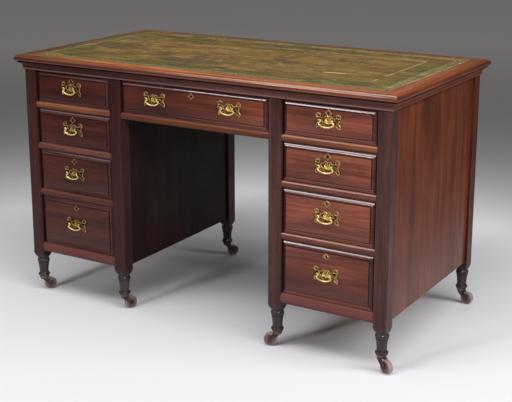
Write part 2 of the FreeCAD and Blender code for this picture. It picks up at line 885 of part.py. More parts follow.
def make_wheel():
    """A caster wheel on its axle, dished on both sides between rim and hub."""
    radius = wheel_diameter / 2
    half = wheel_width / 2
    rounding = wheel_edge_round
    bore = axle_radius + running_fit
    rim = radius - wheel_rim
    web = half - wheel_dish
    bulge = rounding * diagonal_share
    wheel = turned(
        (bore, -half),
        [
            ((hub_radius, -half),),
            ((hub_radius, -web),),
            ((rim, -web),),
            ((rim, -half),),
            ((radius - rounding, -half),),
            ((radius - rounding + bulge, rounding - half - bulge), (radius, rounding - half)),
            ((radius, half - rounding),),
            ((radius - rounding + bulge, half - rounding + bulge), (radius - rounding, half)),
            ((rim, half),),
            ((rim, web),),
            ((hub_radius, web),),
            ((hub_radius, half),),
            ((bore, half),),
        ],
    )
    wheel.rotate(Vec(0, 0, 0), X, QUARTER_TURN)
    return wheel.translated(Vec(wheel_trail, 0, axle_z))


def make_casters():
    """Cups, horns and wheels under the eight posts, each caster turned as it stands."""
    cup = make_cup()
    horn_pieces = make_horn()
    wheel = make_wheel()
    cups = []
    for name, (x, y) in post_places.items():
        place = FreeCAD.Placement(Vec(x, y, 0), FreeCAD.Rotation(Z, caster_turns[name]))
        cups.append(cup.translated(Vec(x, y, 0)))
        save(f"caster_{name}_horn", [s.transformed(place.toMatrix()) for s in horn_pieces])
        save(f"caster_{name}_wheel", [wheel.transformed(place.toMatrix())])
    save("caster_sockets", cups)


os.makedirs("parts", exist_ok=True)
all_drawers = list_drawers()
make_top()
make_carcass(all_drawers)
make_drawers(all_drawers)
make_casters()
print("desk height", desk_height)
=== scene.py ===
"""Looks of a kneehole desk: finishes, cast brass relief, gilt tooling, studio and camera."""

import json
import logging
import math
from dataclasses import dataclass
from enum import Enum
from functools import reduce
from operator import or_
from typing import Iterable, Optional, Sequence, Union

import bmesh
import bpy
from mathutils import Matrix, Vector


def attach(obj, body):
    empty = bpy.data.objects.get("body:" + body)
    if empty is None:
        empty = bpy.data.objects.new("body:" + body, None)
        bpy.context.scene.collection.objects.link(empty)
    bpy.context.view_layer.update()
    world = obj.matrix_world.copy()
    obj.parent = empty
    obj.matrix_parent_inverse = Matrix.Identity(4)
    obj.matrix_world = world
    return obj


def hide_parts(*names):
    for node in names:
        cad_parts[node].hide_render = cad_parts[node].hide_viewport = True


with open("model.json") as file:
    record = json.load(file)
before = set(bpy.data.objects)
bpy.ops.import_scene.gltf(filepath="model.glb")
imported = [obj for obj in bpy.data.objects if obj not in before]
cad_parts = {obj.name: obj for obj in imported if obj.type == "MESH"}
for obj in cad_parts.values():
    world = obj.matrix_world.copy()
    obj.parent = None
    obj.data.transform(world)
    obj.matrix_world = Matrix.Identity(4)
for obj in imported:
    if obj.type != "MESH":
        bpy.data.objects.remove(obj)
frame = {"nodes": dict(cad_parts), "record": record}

Colour = tuple[float, float, float]
Point = tuple[float, float]
Socket = bpy.types.NodeSocket
Material = bpy.types.Material
Piece = bpy.types.Object
Value = Union[float, Colour, "Signal"]

LOG = logging.getLogger("kneehole_desk")
MIX_SOCKETS = {"FLOAT": (2, 3, 0), "VECTOR": (4, 5, 1), "RGBA": (6, 7, 2)}
NUMBER, VECTOR = "NodeSocketFloat", "NodeSocketVector"


class NodeTree:
    """Adds and links nodes in one node tree."""

    def __init__(self, tree: bpy.types.NodeTree) -> None:
        """Keep the tree that the nodes go into."""
        self.tree = tree

    def put(self, socket: Socket, value: Value) -> None:
        """Feed a socket from a signal or another socket, or set its value.

        Args:
            socket: The input to feed.
            value: A signal or socket to link from, a number, or a colour or vector.
        """
        source = value.socket if isinstance(value, Signal) else value
        if isinstance(source, Socket):
            self.tree.links.new(source, socket)
        elif socket.type == "RGBA" and len(value) == 3:
            socket.default_value = (*value, 1.0)
        else:
            socket.default_value = value

    def node(self, kind: str, inputs: dict, **options) -> bpy.types.Node:
        """Add one node.

        Args:
            kind: The node's type name.
            inputs: Values by input name or number.
            options: Properties of the node itself.

        Returns:
            The new node.
        """
        node = self.tree.nodes.new(kind)
        for name, option in options.items():
            setattr(node, name, option)
        for key, value in inputs.items():
            self.put(node.inputs[key], value)
        return node


class Signal:
    """A number, colour or vector that comes out of a shader node, with sums on it."""

    def __init__(self, shader: "ShaderTree", socket: Socket) -> None:
        """Keep the socket and the tree it belongs to."""
        self.shader, self.socket = shader, socket

    def __add__(self, other: Value) -> "Signal":
        """The sum of two numbers."""
        return self.shader.math("ADD", self, other)

    def __sub__(self, other: Value) -> "Signal":
        """This number less another."""
        return self.shader.math("SUBTRACT", self, other)

    def __rsub__(self, other: Value) -> "Signal":
        """Another number less this one."""
        return self.shader.math("SUBTRACT", other, self)

    def __mul__(self, other: Value) -> "Signal":
        """The product of two numbers."""
        return self.shader.math("MULTIPLY", self, other)

    def __or__(self, other: Value) -> "Signal":
        """The greater of two numbers."""
        return self.shader.math("MAXIMUM", self, other)

    def __gt__(self, other: Value) -> "Signal":
        """One where this number is the greater, and nought elsewhere."""
        return self.shader.math("GREATER_THAN", self, other)

    def __lt__(self, other: Value) -> "Signal":
        """One where this number is the smaller, and nought elsewhere."""
        return self.shader.math("LESS_THAN", self, other)

    def __abs__(self) -> "Signal":
        """The number without its sign."""
        return self.shader.math("ABSOLUTE", self)

    def spread(self, low: float, high: float, share: float = 1.0) -> "Signal":
        """A smooth step from nought where the number is low to a share where it is high."""
        inputs = {"Value": self, "From Min": low, "From Max": high, "To Max": share}
        return self.shader.out("ShaderNodeMapRange", inputs, interpolation_type="SMOOTHSTEP")

    def band(self, rise: Point, fall: Point) -> "Signal":
        """One between a rise and a fall, which are smooth steps, and nought outside them."""
        return self.spread(*rise) * self.spread(*fall)

    def mix(self, first: Value, second: Value, share: float = 1.0, kind: str = "RGBA") -> "Signal":
        """Mix two values with this number as the factor.

        Args:
            first: What shows where the factor is nought.
            second: What shows where it is one.
            share: How much of the factor counts.
            kind: What the values are: RGBA for colours, VECTOR or FLOAT.

        Returns:
            The mixed value.
        """
        a, b, result = MIX_SOCKETS[kind]
        factor = self if share == 1.0 else self * share
        return self.shader.out("ShaderNodeMix", {0: factor, a: first, b: second}, result, data_type=kind)

    def noise(self, stretch: Colour, detail: float = 2.0, rough: float = 0.5) -> "Signal":
        """Fractal noise that is read at this place.

        Args:
            stretch: Waves per metre along each axis.
            detail: How many finer layers it has.
            rough: How strong the finer layers are.

        Returns:
            The noise, from nought to one.
        """
        stretched = self.shader.vector("MULTIPLY", {0: self, 1: stretch})
        inputs = {"Vector": stretched, "Scale": 1.0, "Detail": detail, "Roughness": rough}
        return self.shader.out("ShaderNodeTexNoise", inputs)

    def parts(self) -> list["Signal"]:
        """The three parts of this vector."""
        return [Signal(self.shader, part) for part in self.shader.node("ShaderNodeSeparateXYZ", {0: self}).outputs]


class ShaderTree(NodeTree):
    """Makes signals in one shader node tree."""

    def out(self, kind: str, inputs: dict, output: Union[int, str] = 0, **options) -> Signal:
        """One output of a new node."""
        return Signal(self, self.node(kind, inputs, **options).outputs[output])

    def math(self, operation: str, *values: Value) -> Signal:
        """The result of one sum on numbers."""
        return self.out("ShaderNodeMath", dict(enumerate(values)), operation=operation)

    def vector(self, operation: str, inputs: dict, output: Union[int, str] = 0) -> Signal:
        """The result of one sum on vectors."""
        return self.out("ShaderNodeVectorMath", inputs, output, operation=operation)

    def join(self, x: Value, y: Value, z: Value) -> Signal:
        """A vector from three parts."""
        return self.out("ShaderNodeCombineXYZ", {0: x, 1: y, 2: z})

    def facing(self, axis: int, low: float, high: float, share: float = 1.0) -> Signal:
        """How far the surface faces along an axis, as a smooth step between two values."""
        return self.out("ShaderNodeNewGeometry", {}, "Normal").parts()[axis].spread(low, high, share)

    def facing_up(self, low: float, high: float) -> Signal:
        """How far the surface faces up, as a smooth step between two values."""
        return self.facing(2, low, high)

    def named(self, sockets: Iterable[Socket]) -> dict[str, Signal]:
        """Signals of some sockets by their names."""
        return {socket.name: Signal(self, socket) for socket in sockets}

    def group(self, tree: bpy.types.NodeTree, inputs: dict) -> dict[str, Signal]:
        """Place a shared node group with its own values, and take its outputs by name."""
        return self.named(self.node("ShaderNodeGroup", inputs, node_tree=tree).outputs)


class EffectGroup:
    """A shader node group that several finishes share."""

    def __init__(self, name: str, inputs: dict[str, tuple], outputs: Sequence[str]) -> None:
        """Make an empty group.

        Args:
            name: The group's name.
            inputs: For each input its socket type and its value.
            outputs: Names of the numbers that the group puts out.
        """
        self.tree = bpy.data.node_groups.new(name, "ShaderNodeTree")
        for label, (kind, value) in inputs.items():
            socket = self.tree.interface.new_socket(label, in_out="INPUT", socket_type=kind)
            if value is not None:
                socket.default_value = value
        for label in outputs:
            self.tree.interface.new_socket(label, in_out="OUTPUT", socket_type=NUMBER)
        self.shader = ShaderTree(self.tree)
        self.given = self.shader.named(self.tree.nodes.new("NodeGroupInput").outputs)
        self.result = self.tree.nodes.new("NodeGroupOutput").inputs

    def scaled(self, vector: Signal, size: str) -> Signal:
        """A vector times one of the group's inputs."""
        return self.shader.vector("SCALE", {0: vector, "Scale": self.given[size]})

    def give(self, values: dict[str, Signal]) -> bpy.types.NodeTree:
        """Feed the group's outputs by name, and hand over the finished group."""
        for name, value in values.items():
            self.shader.put(self.result[name], value)
        return self.tree


def wood_figure_group() -> bpy.types.NodeTree:
    """Broad figure, streaks and pores of a wood whose grain runs along the first axis."""
    inputs = {"Vector": (VECTOR, None), "Figure": (NUMBER, 1.0), "Pores": (NUMBER, 1.0)}
    group = EffectGroup("wood_figure", inputs, ("Figure", "Streaks", "Pores", "Height"))
    shader, vector = group.shader, group.given["Vector"]
    sway = (vector.noise((2.3, 9.0, 9.0)) - 0.5) * 0.035
    bent = shader.vector("ADD", {0: vector, 1: shader.join(0.0, sway, sway)})
    figure = group.scaled(bent, "Figure").noise((1.6, 17.0, 17.0), 4.0, 0.6)
    streaks = bent.noise((3.2, 170.0, 170.0), 5.0, 0.62)
    pores = group.scaled(bent, "Pores").noise((45.0, 1150.0, 1150.0), 1.0).spread(0.60, 0.72)
    return group.give({"Figure": figure.spread(0.30, 0.70), "Streaks": streaks.spread(0.32, 0.68),
                       "Pores": pores, "Height": streaks * 0.3 - pores})


def handling_wear_group() -> bpy.types.NodeTree:
    """Cloudy smears, with small marks among them, left by years of use."""
    inputs = {"Vector": (VECTOR, None), "Clouds": (NUMBER, 6.0), "Marks": (NUMBER, 220.0)}
    group = EffectGroup("handling_wear", inputs, ("Clouds", "Marks"))
    vector, even = group.given["Vector"], (1.0, 1.0, 1.0)
    clouds = group.scaled(vector, "Clouds").noise(even, 4.0, 0.6).spread(0.36, 0.68)
    marks = group.scaled(vector, "Marks").noise(even, 3.0, 0.6).spread(0.60, 0.72)
    return group.give({"Clouds": clouds, "Marks": marks * clouds})


WOOD_FIGURE = wood_figure_group()
HANDLING_WEAR = handling_wear_group()


def wear_on(place: Signal, clouds: float, marks: float) -> dict[str, Signal]:
    """Clouds and marks of wear at a place, so many of each to a metre."""
    return place.shader.group(HANDLING_WEAR, {"Vector": place, "Clouds": clouds, "Marks": marks})


class Grain(Enum):
    """Which way the grain runs on a piece, as the order of its axes."""

    ALONG_X = (0, 1, 2)
    ALONG_Y = (1, 0, 2)
    ALONG_Z = (2, 0, 1)

    def turn(self, place: Signal) -> Signal:
        """The place with its first axis along the grain."""
        parts = place.parts()
        return place.shader.join(*(parts[axis] for axis in self.value))


@dataclass(frozen=True)
class Wood:
    """A polished wood: its colours from the darkest figure to the lightest, and its polish."""

    dark: Colour
    middle: Colour
    light: Colour
    figure: float = 1.0
    pores: float = 1.0
    roughness: float = 0.34
    plain_streaks: float = 0.25
    streak_share: float = 0.75
    pore_shade: float = 0.30
    pore_share: float = 0.55
    wear_share: float = 0.22
    wear_roughness: float = 0.12

    def colour(self, vector: Signal) -> tuple[Signal, ...]:
        """Colour, roughness and height of the wood.

        Args:
            vector: The place, turned so that the grain runs along its first axis.

        Returns:
            Signals for colour, roughness and height.
        """
        inputs = {"Vector": vector, "Figure": self.figure, "Pores": self.pores}
        grain = vector.shader.group(WOOD_FIGURE, inputs)
        clouds = wear_on(vector, 5.0, 160.0)["Clouds"]
        lit = grain["Streaks"] * (grain["Figure"] + self.plain_streaks)
        shade = tuple(self.pore_shade * part for part in self.dark)
        colour = grain["Figure"].mix(self.dark, self.middle)
        colour = lit.mix(colour, self.light, self.streak_share)
        colour = grain["Pores"].mix(colour, shade, self.pore_share)
        colour = clouds.mix(colour, self.dark, self.wear_share)
        return colour, clouds * self.wear_roughness + self.roughness, grain["Height"]

    def tone(self, vector: Signal) -> Signal:
        """The wood's colour alone."""
        return self.colour(vector)[0]


class Finish:
    """A material with its shader, which the classes below colour."""

    def __init__(self, name: str) -> None:
        """Start a material from a bare shader, with the place of each point on its piece in metres."""
        self.material = bpy.data.materials.new(name)
        self.material.use_nodes = True
        self.shader = ShaderTree(self.material.node_tree)
        self.place = self.shader.out("ShaderNodeTexCoord", {}, "Object")
        self.surface = self.material.node_tree.nodes["Principled BSDF"].inputs

    def feed(self, values: dict[str, Value]) -> None:
        """Feed the surface's sockets by name."""
        for name, value in values.items():
            self.shader.put(self.surface[name], value)

    def bump(self, height: Value, depth: float, strength: float = 0.5) -> None:
        """Raise the surface by a height that runs over about one unit.

        Args:
            height: The height's socket.
            depth: How far one unit of height stands up, in metres.
            strength: How much of it shows.
        """
        inputs = {"Height": height, "Distance": depth, "Strength": strength}
        self.feed({"Normal": self.shader.out("ShaderNodeBump", inputs)})


@dataclass(frozen=True)
class Polish:
    """A layer of french polish over a wood."""

    coat: float = 0.20
    sheen_level: float = 0.10
    coat_roughness: float = 0.10
    coat_ior: float = 1.7
    grain_depth: float = 0.00012

    def lay(self, finish: Finish, colour: Value, roughness: Value, height: Value,
            coat: Optional[Value] = None) -> Material:
        """Lay the polish on a coloured wood.

        Args:
            finish: The material to finish.
            colour: The wood's colour.
            roughness: The wood's roughness.
            height: The height of its grain.
            coat: How thick the polish is, where it changes over the piece.

        Returns:
            The finished material.
        """
        finish.feed({
            "Base Color": colour,
            "Roughness": roughness,
            "Coat Weight": self.coat if coat is None else coat,
            "Coat Roughness": self.coat_roughness,
            "Coat IOR": self.coat_ior,
            "Specular IOR Level": self.sheen_level,
        })
        finish.bump(height, self.grain_depth)
        return finish.material


MAHOGANY = Wood((0.062, 0.013, 0.005), (0.138, 0.030, 0.010), (0.215, 0.055, 0.019), figure=1.35)
FIGURED_MAHOGANY = Wood((0.096, 0.021, 0.012), (0.217, 0.053, 0.029), (0.342, 0.098, 0.051), figure=1.5)
# A darker mahogany for painted shade on the left and low down, also used for random dark clouds on the drawer fronts.
PAINTED_SHADE_MAHOGANY = Wood((0.022, 0.004, 0.003), (0.056, 0.011, 0.007), (0.098, 0.023, 0.012), figure=1.5)
EDGE_MAHOGANY = Wood((0.150, 0.034, 0.010), (0.315, 0.098, 0.023), (0.480, 0.190, 0.048), figure=1.8)
# A darker mahogany for painted shade on the back and left of the top's border.
BORDER_SHADE_MAHOGANY = Wood((0.040, 0.019, 0.011), (0.090, 0.044, 0.022), (0.135, 0.070, 0.036), figure=1.8)
RAIL_MAHOGANY = Wood((0.055, 0.016, 0.012), (0.118, 0.038, 0.028), (0.190, 0.072, 0.055))
# A near-black mahogany for painted shade in recesses, under the top and on the left.
RECESS_SHADE_MAHOGANY = Wood((0.020, 0.005, 0.004), (0.044, 0.012, 0.009), (0.070, 0.022, 0.017))
MOULDING_MAHOGANY = Wood((0.060, 0.021, 0.018), (0.118, 0.046, 0.040), (0.170, 0.073, 0.064), figure=1.5)
UNDER_MAHOGANY = Wood((0.055, 0.019, 0.016), (0.122, 0.046, 0.038), (0.190, 0.080, 0.068), figure=1.5)
SHADED_MAHOGANY = Wood((0.007, 0.002, 0.001), (0.016, 0.005, 0.003), (0.029, 0.010, 0.006), figure=1.2)
DARK_MAHOGANY = Wood((0.030, 0.012, 0.010), (0.066, 0.028, 0.024), (0.108, 0.050, 0.043), figure=1.2)
BACK_MAHOGANY = Wood((0.030, 0.006, 0.004), (0.078, 0.017, 0.010), (0.130, 0.034, 0.018), figure=1.5)
FOOT_MAHOGANY = Wood((0.017, 0.011, 0.016), (0.037, 0.025, 0.034), (0.064, 0.046, 0.058), figure=1.2)
LINING_OAK = Wood((0.150, 0.085, 0.040), (0.270, 0.165, 0.085), (0.380, 0.250, 0.140), roughness=0.6)
FRENCH_POLISH = Polish()


@dataclass(frozen=True)
class Brass:
    """Cast brass with tarnish in its hollows and rubbed high spots, and painted shade towards the left."""

    name: str
    bright: Colour = (0.93, 0.71, 0.29)
    tarnish: Colour = (0.20, 0.115, 0.035)
    worn_and_lit: float = 0.62
    roughness: float = 0.24
    metal: float = 1.0
    painted_left_shade: float = 0.0
    painted_left_shade_x: Point = (0.15, -0.40)
    mark_share: float = 0.3
    tarnish_roughness: float = 0.4
    pits: float = 1400.0
    pit_depth: float = 0.00008

    def material(self) -> Material:
        """The metal as a material."""
        finish = Finish(self.name)
        place = finish.place
        wear = wear_on(place, 75.0, 900.0)
        tarnish_and_shade = wear["Marks"] * self.mark_share + wear["Clouds"] * (1.0 - self.worn_and_lit)
        # Painted shade: the brass darkens towards its tarnish colour on the left.
        tarnish_and_shade = tarnish_and_shade | place.parts()[0].spread(*self.painted_left_shade_x, self.painted_left_shade)
        finish.feed({
            "Base Color": tarnish_and_shade.mix(self.bright, self.tarnish),
            "Roughness": tarnish_and_shade * self.tarnish_roughness + self.roughness,
            "Metallic": self.metal,
        })
        finish.bump(place.noise((self.pits,) * 3, 3.0, 0.6), self.pit_depth, 0.4)
        return finish.material


@dataclass(frozen=True)
class CasterWheel:
    """Brown turned wheel, dark at its hub and rubbed pale on its tread."""

    name: str
    centre: tuple
    axle: tuple
    body: Colour = (0.140, 0.080, 0.078)
    hub: Colour = (0.045, 0.022, 0.022)
    scuffed: Colour = (0.430, 0.310, 0.295)
    hub_fall: Point = (0.0105, 0.0075)
    tread_rise: Point = (0.0150, 0.0187)
    grit: float = 900.0
    grit_depth: float = 0.0001

    def material(self) -> Material:
        """The wheel's material."""
        finish = Finish(self.name)
        shader = finish.shader
        place = shader.vector("SUBTRACT", {0: finish.place, 1: self.centre})
        turned = shader.vector("CROSS_PRODUCT", {0: place, 1: self.axle})
        away = shader.vector("LENGTH", {0: turned}, "Value")
        wear = wear_on(place, 60.0, 700.0)
        scuffs = away.spread(*self.tread_rise, 0.5) + (wear["Marks"] * 0.6 + wear["Clouds"] * 0.30)
        colour = away.spread(*self.hub_fall).mix(self.body, self.hub)
        finish.feed({
            "Base Color": scuffs.mix(colour, self.scuffed),
            "Roughness": scuffs * 0.2 + 0.34,
            "Specular IOR Level": 0.5,
        })
        finish.bump(place.noise((self.grit,) * 3, 3.0), self.grit_depth, 0.4)
        return finish.material


@dataclass(frozen=True)
class WritingLeather:
    """Worn green leather, browned in the middle where it has been written on."""

    name: str = "writing_leather"
    half_x: float = 0.590
    half_y: float = 0.290
    green: Colour = (0.090, 0.072, 0.013)
    deep_green: Colour = (0.042, 0.046, 0.015)
    tan: Colour = (0.112, 0.057, 0.015)
    golden: Colour = (0.166, 0.100, 0.025)
    stain: Colour = (0.050, 0.038, 0.018)
    scuff: Colour = (0.540, 0.440, 0.230)
    tear_slope: float = 0.2031
    tear_start: float = -0.1836
    tear_x: float = 0.345
    tear_width: Point = (0.0042, 0.0016)
    tear_length: Point = (0.036, 0.026)
    band_edge: Point = (0.044, 0.036)
    grain_depth: float = 0.00022

    def material(self) -> Material:
        """The leather's material."""
        finish = Finish(self.name)
        place = finish.place
        x, y, _ = place.parts()
        inside = finish.shader.math("MINIMUM", self.half_x - abs(x), self.half_y - abs(y))
        cloud = place.noise((4.0, 9.0, 9.0), 5.0, 0.62)
        patch = place.noise((11.0, 30.0, 11.0), 5.0, 0.66)
        stain = place.noise((7.0, 15.0, 23.0), 5.0, 0.68)
        streak = place.noise((9.0, 260.0, 9.0), 4.0, 0.6)
        edge = patch.spread(0.40, 0.60).mix(self.deep_green, self.green)
        middle = patch.spread(0.42, 0.60).mix(self.tan, self.golden)
        colour = ((cloud - 0.5) * 0.62 + inside).spread(-0.05, 0.20).mix(edge, middle)
        colour = inside.spread(*self.band_edge).mix(colour, self.deep_green, 0.40)
        colour = stain.spread(0.49, 0.60).mix(colour, self.stain, 0.85)
        colour = stain.spread(0.45, 0.32).mix(colour, self.green, 0.70)
        colour = streak.spread(0.42, 0.72).mix(colour, self.deep_green, 0.42)
        wear = wear_on(place, 9.0, 55.0)
        rubbed_and_highlit = wear["Marks"] * 0.62 | place.noise((16.0, 300.0, 14.0)).spread(0.665, 0.735)
        across = abs(y - (x * self.tear_slope + self.tear_start))
        torn = across.spread(*self.tear_width) * abs(x - self.tear_x).spread(*self.tear_length)
        cells = finish.shader.out("ShaderNodeTexVoronoi", {"Vector": place, "Scale": 620.0}, "Distance")
        finish.feed({
            "Base Color": (rubbed_and_highlit * 0.7 | torn).mix(colour, self.scuff),
            "Roughness": wear["Clouds"] * -0.12 + 0.80,
            "Specular IOR Level": 0.08,
        })
        finish.bump(streak * 0.5 + cells, self.grain_depth)
        return finish.material


@dataclass(frozen=True)
class Gilding:
    """Gold leaf pressed into the leather and rubbed away in places."""

    name: str = "worn_gilding"
    gold: Colour = (0.660, 0.520, 0.220)
    bare: Colour = (0.094, 0.074, 0.020)
    shade_and_wear_x: Point = (0.45, -0.55)
    kept_y: Point = (-0.22, -0.27)
    rubbed_away: float = 0.6

    def material(self) -> Material:
        """The gilding's material."""
        finish = Finish(self.name)
        place = finish.place
        x, y, _ = place.parts()
        speck = place.noise((140.0, 140.0, 140.0), 3.0, 0.6).spread(0.42, 0.60)
        handled_and_highlit = (x.spread(*self.shade_and_wear_x) | y.spread(*self.kept_y)) * self.rubbed_away
        lost = wear_on(place, 14.0, 420.0)["Clouds"] * 0.85 | speck * 0.7 | handled_and_highlit
        finish.feed({
            "Base Color": lost.mix(self.gold, self.bare),
            "Roughness": lost * 0.2 + 0.40,
            "Metallic": lost * -0.4 + 0.45,
        })
        return finish.material


BRIGHT_BRASS = Brass("bright_brass", bright=(0.99, 0.75, 0.26), metal=0.52, worn_and_lit=0.72, roughness=0.20)
# The fan, relief and plate brass carry painted shade on the left.
FAN_BRASS = Brass("fan_brass", bright=(0.99, 0.69, 0.17), metal=0.45, worn_and_lit=0.75, roughness=0.22, painted_left_shade=0.70)
RELIEF_BRASS = Brass("relief_brass", bright=(0.74, 0.51, 0.21), tarnish=(0.110, 0.066, 0.032), metal=0.60, worn_and_lit=0.62,
                     painted_left_shade=0.45)
PLATE_BRASS = Brass("tarnished_brass", bright=(0.25, 0.155, 0.042), tarnish=(0.030, 0.016, 0.006), worn_and_lit=0.20,
                    roughness=0.34, painted_left_shade=0.8)
CUP_BRASS = Brass("caster_brass", bright=(0.20, 0.130, 0.115), tarnish=(0.045, 0.028, 0.030), worn_and_lit=0.45,
                  roughness=0.26)
DARK_BRONZE = Brass("dark_bronze", bright=(0.13, 0.085, 0.06), tarnish=(0.03, 0.02, 0.016), worn_and_lit=0.3,
                    roughness=0.36)


class PathTool(NodeTree):
    """Geometry Nodes that turn paths and points into finished meshes."""

    def __init__(self, name: str, numbers: dict[str, float]) -> None:
        """Start a tree with one geometry, a material and named sizes.

        Args:
            name: The tree's name.
            numbers: The sizes that can be set, with their usual values.
        """
        super().__init__(bpy.data.node_groups.new(name, "GeometryNodeTree"))
        face = self.tree.interface
        face.new_socket("Geometry", in_out="INPUT", socket_type="NodeSocketGeometry")
        face.new_socket("Finish", in_out="INPUT", socket_type="NodeSocketMaterial")
        for label, value in numbers.items():
            face.new_socket(label, in_out="INPUT", socket_type=NUMBER).default_value = value
        face.new_socket("Geometry", in_out="OUTPUT", socket_type="NodeSocketGeometry")
        self.given = self.tree.nodes.new("NodeGroupInput").outputs
        self.result = self.tree.nodes.new("NodeGroupOutput").inputs

    def close(self, geometry: Socket) -> None:
        """End the tree by making its instances real and giving them their material."""
        real = self.node("GeometryNodeRealizeInstances", {0: geometry}).outputs[0]
        dressed = self.node("GeometryNodeSetMaterial", {"Geometry": real, "Material": self.given["Finish"]})
        self.tree.links.new(dressed.outputs[0], self.result[0])

    def run(self, piece: Piece, material: Material, numbers: dict[str, float]) -> None:
        """Run the tree on a piece and keep the result as its plain mesh.

        Args:
            piece: An object whose mesh holds the paths or points.
            material: What the result is made of.
            numbers: Sizes that differ from the usual ones.
        """
        modifier = piece.modifiers.new("shape", "NODES")
        modifier.node_group = self.tree
        for item in self.tree.interface.items_tree:
            if item.in_out == "INPUT" and item.name in numbers:
                modifier[item.identifier] = numbers[item.name]
            if item.in_out == "INPUT" and item.name == "Finish":
                modifier[item.identifier] = material
        shaped = piece.evaluated_get(bpy.context.evaluated_depsgraph_get())
        mesh = bpy.data.meshes.new_from_object(shaped)
        piece.modifiers.clear()
        piece.data = mesh
        mesh.name = piece.name


def rib_tool() -> PathTool:
    """Round tapering ribs that follow paths, as thick as each path point says."""
    tool = PathTool("cast_ribs", {})
    curve = tool.node("GeometryNodeMeshToCurve", {"Mesh": tool.given["Geometry"]}).outputs[0]
    width = tool.node("GeometryNodeInputNamedAttribute", {"Name": "rib_radius"}, data_type="FLOAT").outputs[0]
    ring = tool.node("GeometryNodeCurvePrimitiveCircle", {"Resolution": 8, "Radius": 1.0}).outputs[0]
    inputs = {"Curve": curve, "Profile Curve": ring, "Scale": width, "Fill Caps": True}
    ribs = tool.node("GeometryNodeCurveToMesh", inputs).outputs[0]
    smooth = tool.node("GeometryNodeSetShadeSmooth", {"Geometry": ribs}).outputs[0]
    tool.close(smooth)
    return tool


def bead_tool() -> PathTool:
    """A small round bead on every point."""
    tool = PathTool("beads", {"Radius": 0.001})
    ball = tool.node("GeometryNodeMeshIcoSphere", {"Radius": tool.given["Radius"], "Subdivisions": 2}).outputs[0]
    ball = tool.node("GeometryNodeSetShadeSmooth", {"Geometry": ball}).outputs[0]
    beads = tool.node("GeometryNodeInstanceOnPoints", {"Points": tool.given["Geometry"], "Instance": ball}).outputs[0]
    tool.close(beads)
    return tool


def stamp_tool(stamp: Piece) -> PathTool:
    """One tooling stamp repeated along paths, turned with them.

    Args:
        stamp: The object whose mesh is repeated.

    Returns:
        The tool.
    """
    tool = PathTool("tooling_stamps", {"Pitch": 0.026})
    curve = tool.node("GeometryNodeMeshToCurve", {"Mesh": tool.given["Geometry"]}).outputs[0]
    spaced = tool.node("GeometryNodeResampleCurve", {"Curve": curve, "Length": tool.given["Pitch"]}, mode="LENGTH")
    tangent = tool.node("GeometryNodeInputTangent", {}).outputs[0]
    turn = tool.node("FunctionNodeAlignRotationToVector", {"Vector": tangent}, axis="X", pivot_axis="Z").outputs[0]
    shape = tool.node("GeometryNodeObjectInfo", {"Object": stamp}, transform_space="ORIGINAL").outputs["Geometry"]
    inputs = {"Points": spaced.outputs[0], "Instance": shape, "Rotation": turn}
    tool.close(tool.node("GeometryNodeInstanceOnPoints", inputs).outputs[0])
    return tool


def new_piece(name: str, mesh: bpy.types.Mesh) -> Piece:
    """Put a mesh into the scene as a piece at the origin."""
    piece = bpy.data.objects.new(name, mesh)
    bpy.context.scene.collection.objects.link(piece)
    return piece


def path_piece(name: str, paths: Iterable[Sequence[tuple]], radii: Iterable[Sequence[float]] = ()) -> Piece:
    """A piece of open polylines, with a rib radius on each point where radii are given.

    Args:
        name: The piece's name.
        paths: Points of each polyline.
        radii: Rib radius at each of those points.

    Returns:
        The piece.
    """
    points, edges = [], []
    for path in paths:
        start = len(points)
        points += [tuple(point) for point in path]
        edges += [(i, i + 1) for i in range(start, len(points) - 1)]
    mesh = bpy.data.meshes.new(name)
    mesh.from_pydata(points, edges, [])
    widths = [radius for path in radii for radius in path]
    if widths:
        mesh.attributes.new("rib_radius", "FLOAT", "POINT").data.foreach_set("value", widths)
    return new_piece(name, mesh)


def smooth_line(points: Sequence[Point], steps: int = 6) -> list[Vector]:
    """A smooth line through some points.

    Args:
        points: What the line goes through.
        steps: How many pieces each stretch gets.

    Returns:
        Points along the line.
    """
    ends = [Vector(p) for p in points]
    ends = [2 * ends[0] - ends[1]] + ends + [2 * ends[-1] - ends[-2]]
    line = []
    for a, b, c, d in zip(ends, ends[1:], ends[2:], ends[3:]):
        for step in range(steps):
            t = step / steps
            line.append(((2 * b) + (c - a) * t + (2 * a - 5 * b + 4 * c - d) * t * t
                         + (3 * b - a - 3 * c + d) * t * t * t) / 2)
    line.append(ends[-2])
    return line


